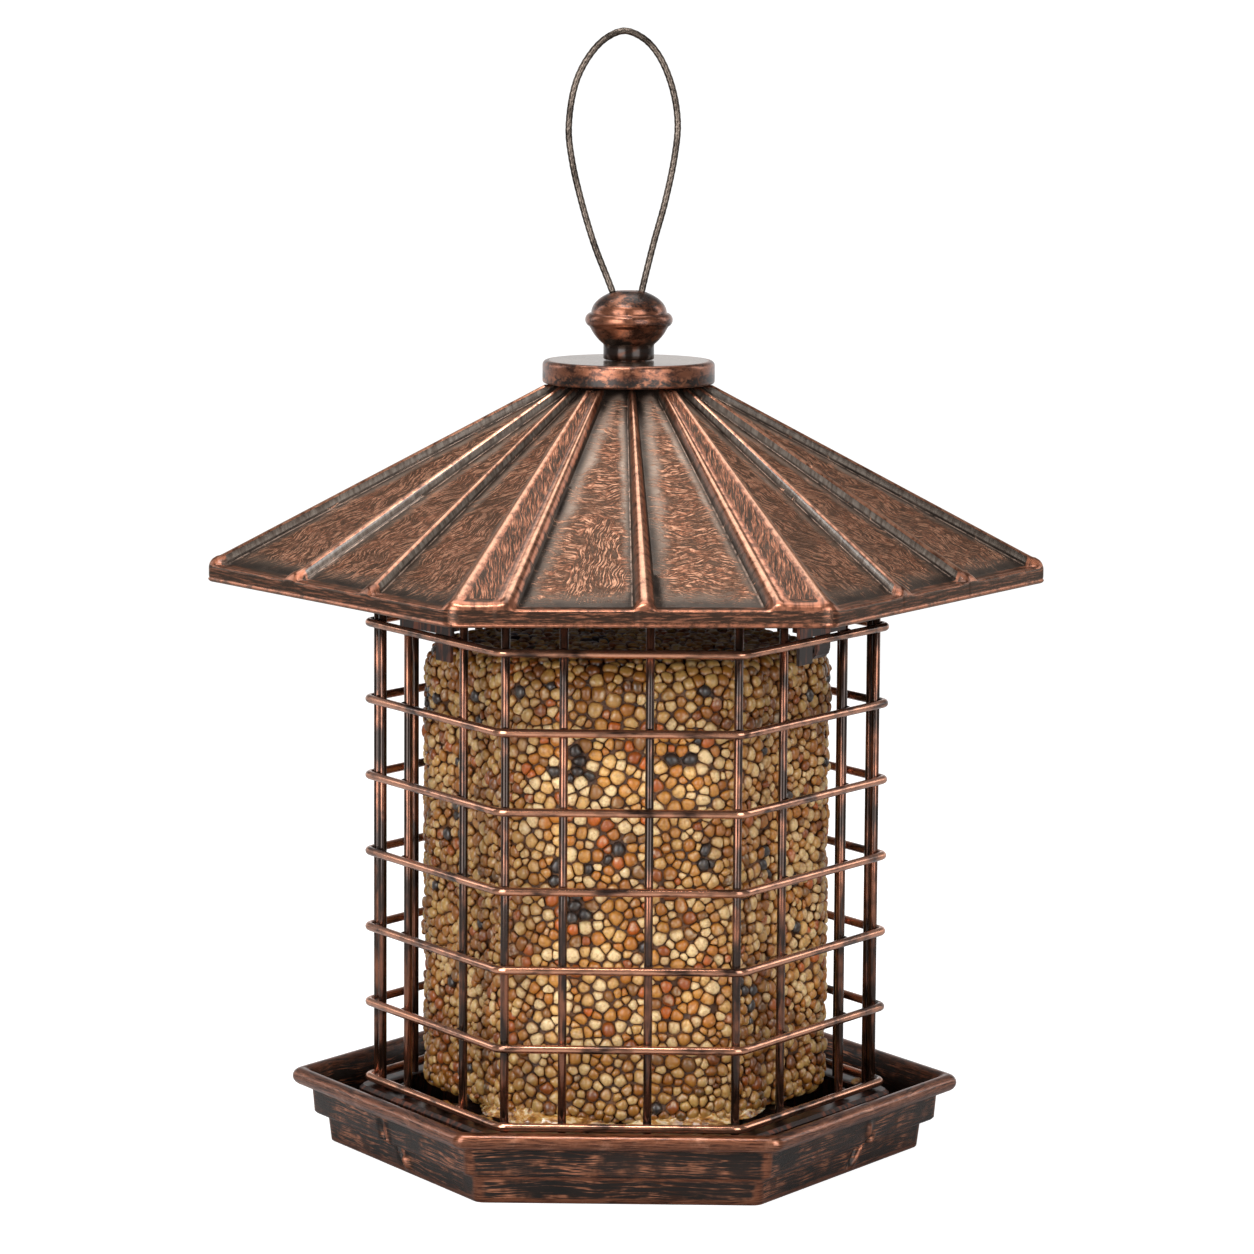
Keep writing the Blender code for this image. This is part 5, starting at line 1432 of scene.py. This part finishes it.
def build_cable():
    """The loop and its ends in the finial move with the roof. The legs run from the cage's corner wire to the
    finial and ride on no body.
    """
    route = cable_route()
    per_span = 12
    whole = smooth_path(route, per_span)
    finish = steel_finish("cable_steel", rgb(98, 88, 80), 0.24)
    names = ("cable_leg_left", "cable_stub_left", "cable_loop", "cable_stub_right", "cable_leg_right")
    end = len(route) - 1
    splits = [point * per_span for point in (0, 7, 10, end - 10, end - 7, end)]
    for name, first, last in zip(names, splits, splits[1:]):
        path = resampled(whole[first:last + 1], (0.5 if name == "cable_loop" else 0.7) * MM)
        mesh = cable_mesh(name, path)
        piece = add_piece(name, mesh, None, (finish,), ("hanging_cable",), 0.0)
        if "leg" in name:
            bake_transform(piece)
        else:
            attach(piece, "roof")
        if name == "cable_loop":
            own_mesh(piece)
        if "stub" not in name:
            exit_point = path[0] if name != "cable_leg_right" else path[-1]
            float(runs_along(path)[-1])


def add_camera():
    """The photograph's long lens, a little to the right of the feeder's middle and 7.4 degrees above it."""
    azimuth, pitch, roll = math.radians(1.128), math.radians(7.378), math.radians(0.365)
    distance, height = 1.5051, 0.3513
    lens = bpy.data.cameras.new("camera")
    lens.lens = 146.94
    lens.sensor_width = 36.0
    camera = linked("camera", lens)
    camera.matrix_world = (Matrix.Rotation(azimuth, 4, "Z") @ Matrix.Translation((0.0, -distance, height))
                           @ Matrix.Rotation(math.pi / 2.0 - pitch, 4, "X") @ Matrix.Rotation(roll, 4, "Z"))
    lens.clip_start, lens.clip_end = 0.05, 50.0
    bpy.context.scene.camera = camera


def add_light(name, place, target, size, power):
    """A soft box that faces a target."""
    lamp = bpy.data.lights.new(name, "AREA")
    lamp.shape = "RECTANGLE"
    lamp.size, lamp.size_y = size
    lamp.energy = power
    holder = linked(name, lamp)
    holder.location = place
    holder.rotation_euler = (Vector(target) - Vector(place)).to_track_quat("-Z", "Y").to_euler()


def add_world():
    """A white studio that lights evenly, and that shows darker walls and ceiling in glossy surfaces."""
    world = bpy.data.worlds.new("studio")
    world.use_nodes = True
    sky = Nodes(world.node_tree)
    place = sky.add("TexCoord", output="Generated")
    up = sky.axis(place, "Z")
    backdrop = sky.step(sky.axis(place, "Y"), 0.25, 0.75) * sky.blend(sky.step(up, 0.15, 0.45), 0.55, 0.0)
    strength = sky.blend(sky.step(up, 0.0, 0.7), 0.30, 0.20) + backdrop
    seen = sky.add("LightPath", output="Is Camera Ray")
    background = sky.tree.nodes["Background"]
    sky.give(background.inputs["Strength"], sky.blend(seen, strength, 1.1))
    sky.give(background.inputs["Color"], (1.0, 1.0, 1.0, 1.0))
    bpy.context.scene.world = world


def add_stage():
    """A plain pale floor, soft boxes at both sides and above, and a pale sky."""
    mesh = primitive("floor", bmesh.ops.create_circle, cap_ends=True, segments=64, radius=1.0)
    floor = linked("floor", mesh)
    look = Finish("floor_paint")
    fine = look.noise(30.0, 3.0, 0.5)
    look.set(Base_Color=look.mix(fine, (0.38, 0.38, 0.38, 1.0), (0.42, 0.42, 0.42, 1.0)), Roughness=0.8)
    seen = look.add("LightPath", output="Is Camera Ray")
    look.set(Emission_Color=(1.0, 1.0, 1.0, 1.0), Emission_Strength=seen * 0.86)
    mesh.materials.append(look.made)
    add_world()
    middle = (0.0, 0.0, 0.16)
    for name, turn, power in (("key", -32.0, 5.6), ("fill", 35.0, 4.0)):
        angle = math.radians(turn)
        place = (0.70 * math.sin(angle), -0.70 * math.cos(angle), 0.375)
        add_light(name, place, (0.0, 0.0, 0.30), (0.40, 0.74), power)
    add_light("front", (-0.22, -0.50, 1.42), middle, (0.6, 0.30), 10.0)
    add_light("left_edge", (-1.2, 0.45, 0.7), middle, (0.4, 0.9), 2.4)
    add_light("right_edge", (1.2, 0.5, 0.7), middle, (0.4, 0.9), 2.4)
    add_light("top", (-0.10, 0.34, 1.50), middle, (1.1, 0.9), 8.0)
    bpy.context.scene.view_settings.view_transform = "Standard"


def dress_solids():
    """Finishes for the solids that stay as they are. The last one is for all that the others don't name."""
    finishes = {
        "cage_base": bronze_finish("base_bronze", 0.32),
        "roof_bracket": bronze_finish("bracket_bronze", 0.34),
        "cable_ferrule": steel_finish("ferrule_steel", rgb(150, 147, 142), 0.28, (300.0, 300.0, 1500.0)),
        "": steel_finish("zinc", rgb(196, 194, 188), 0.35)}
    for name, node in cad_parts.items():
        if not node.hide_render:
            finish = next(made for start, made in finishes.items() if name.startswith(start))
            for slot in node.material_slots:
                slot.material = finish


add_camera()
build_cable()
build_roof()
build_cap()
build_finial()
build_block()
build_loose_seeds()
build_fat()
build_cage()
build_tray()
dress_solids()
add_stage()
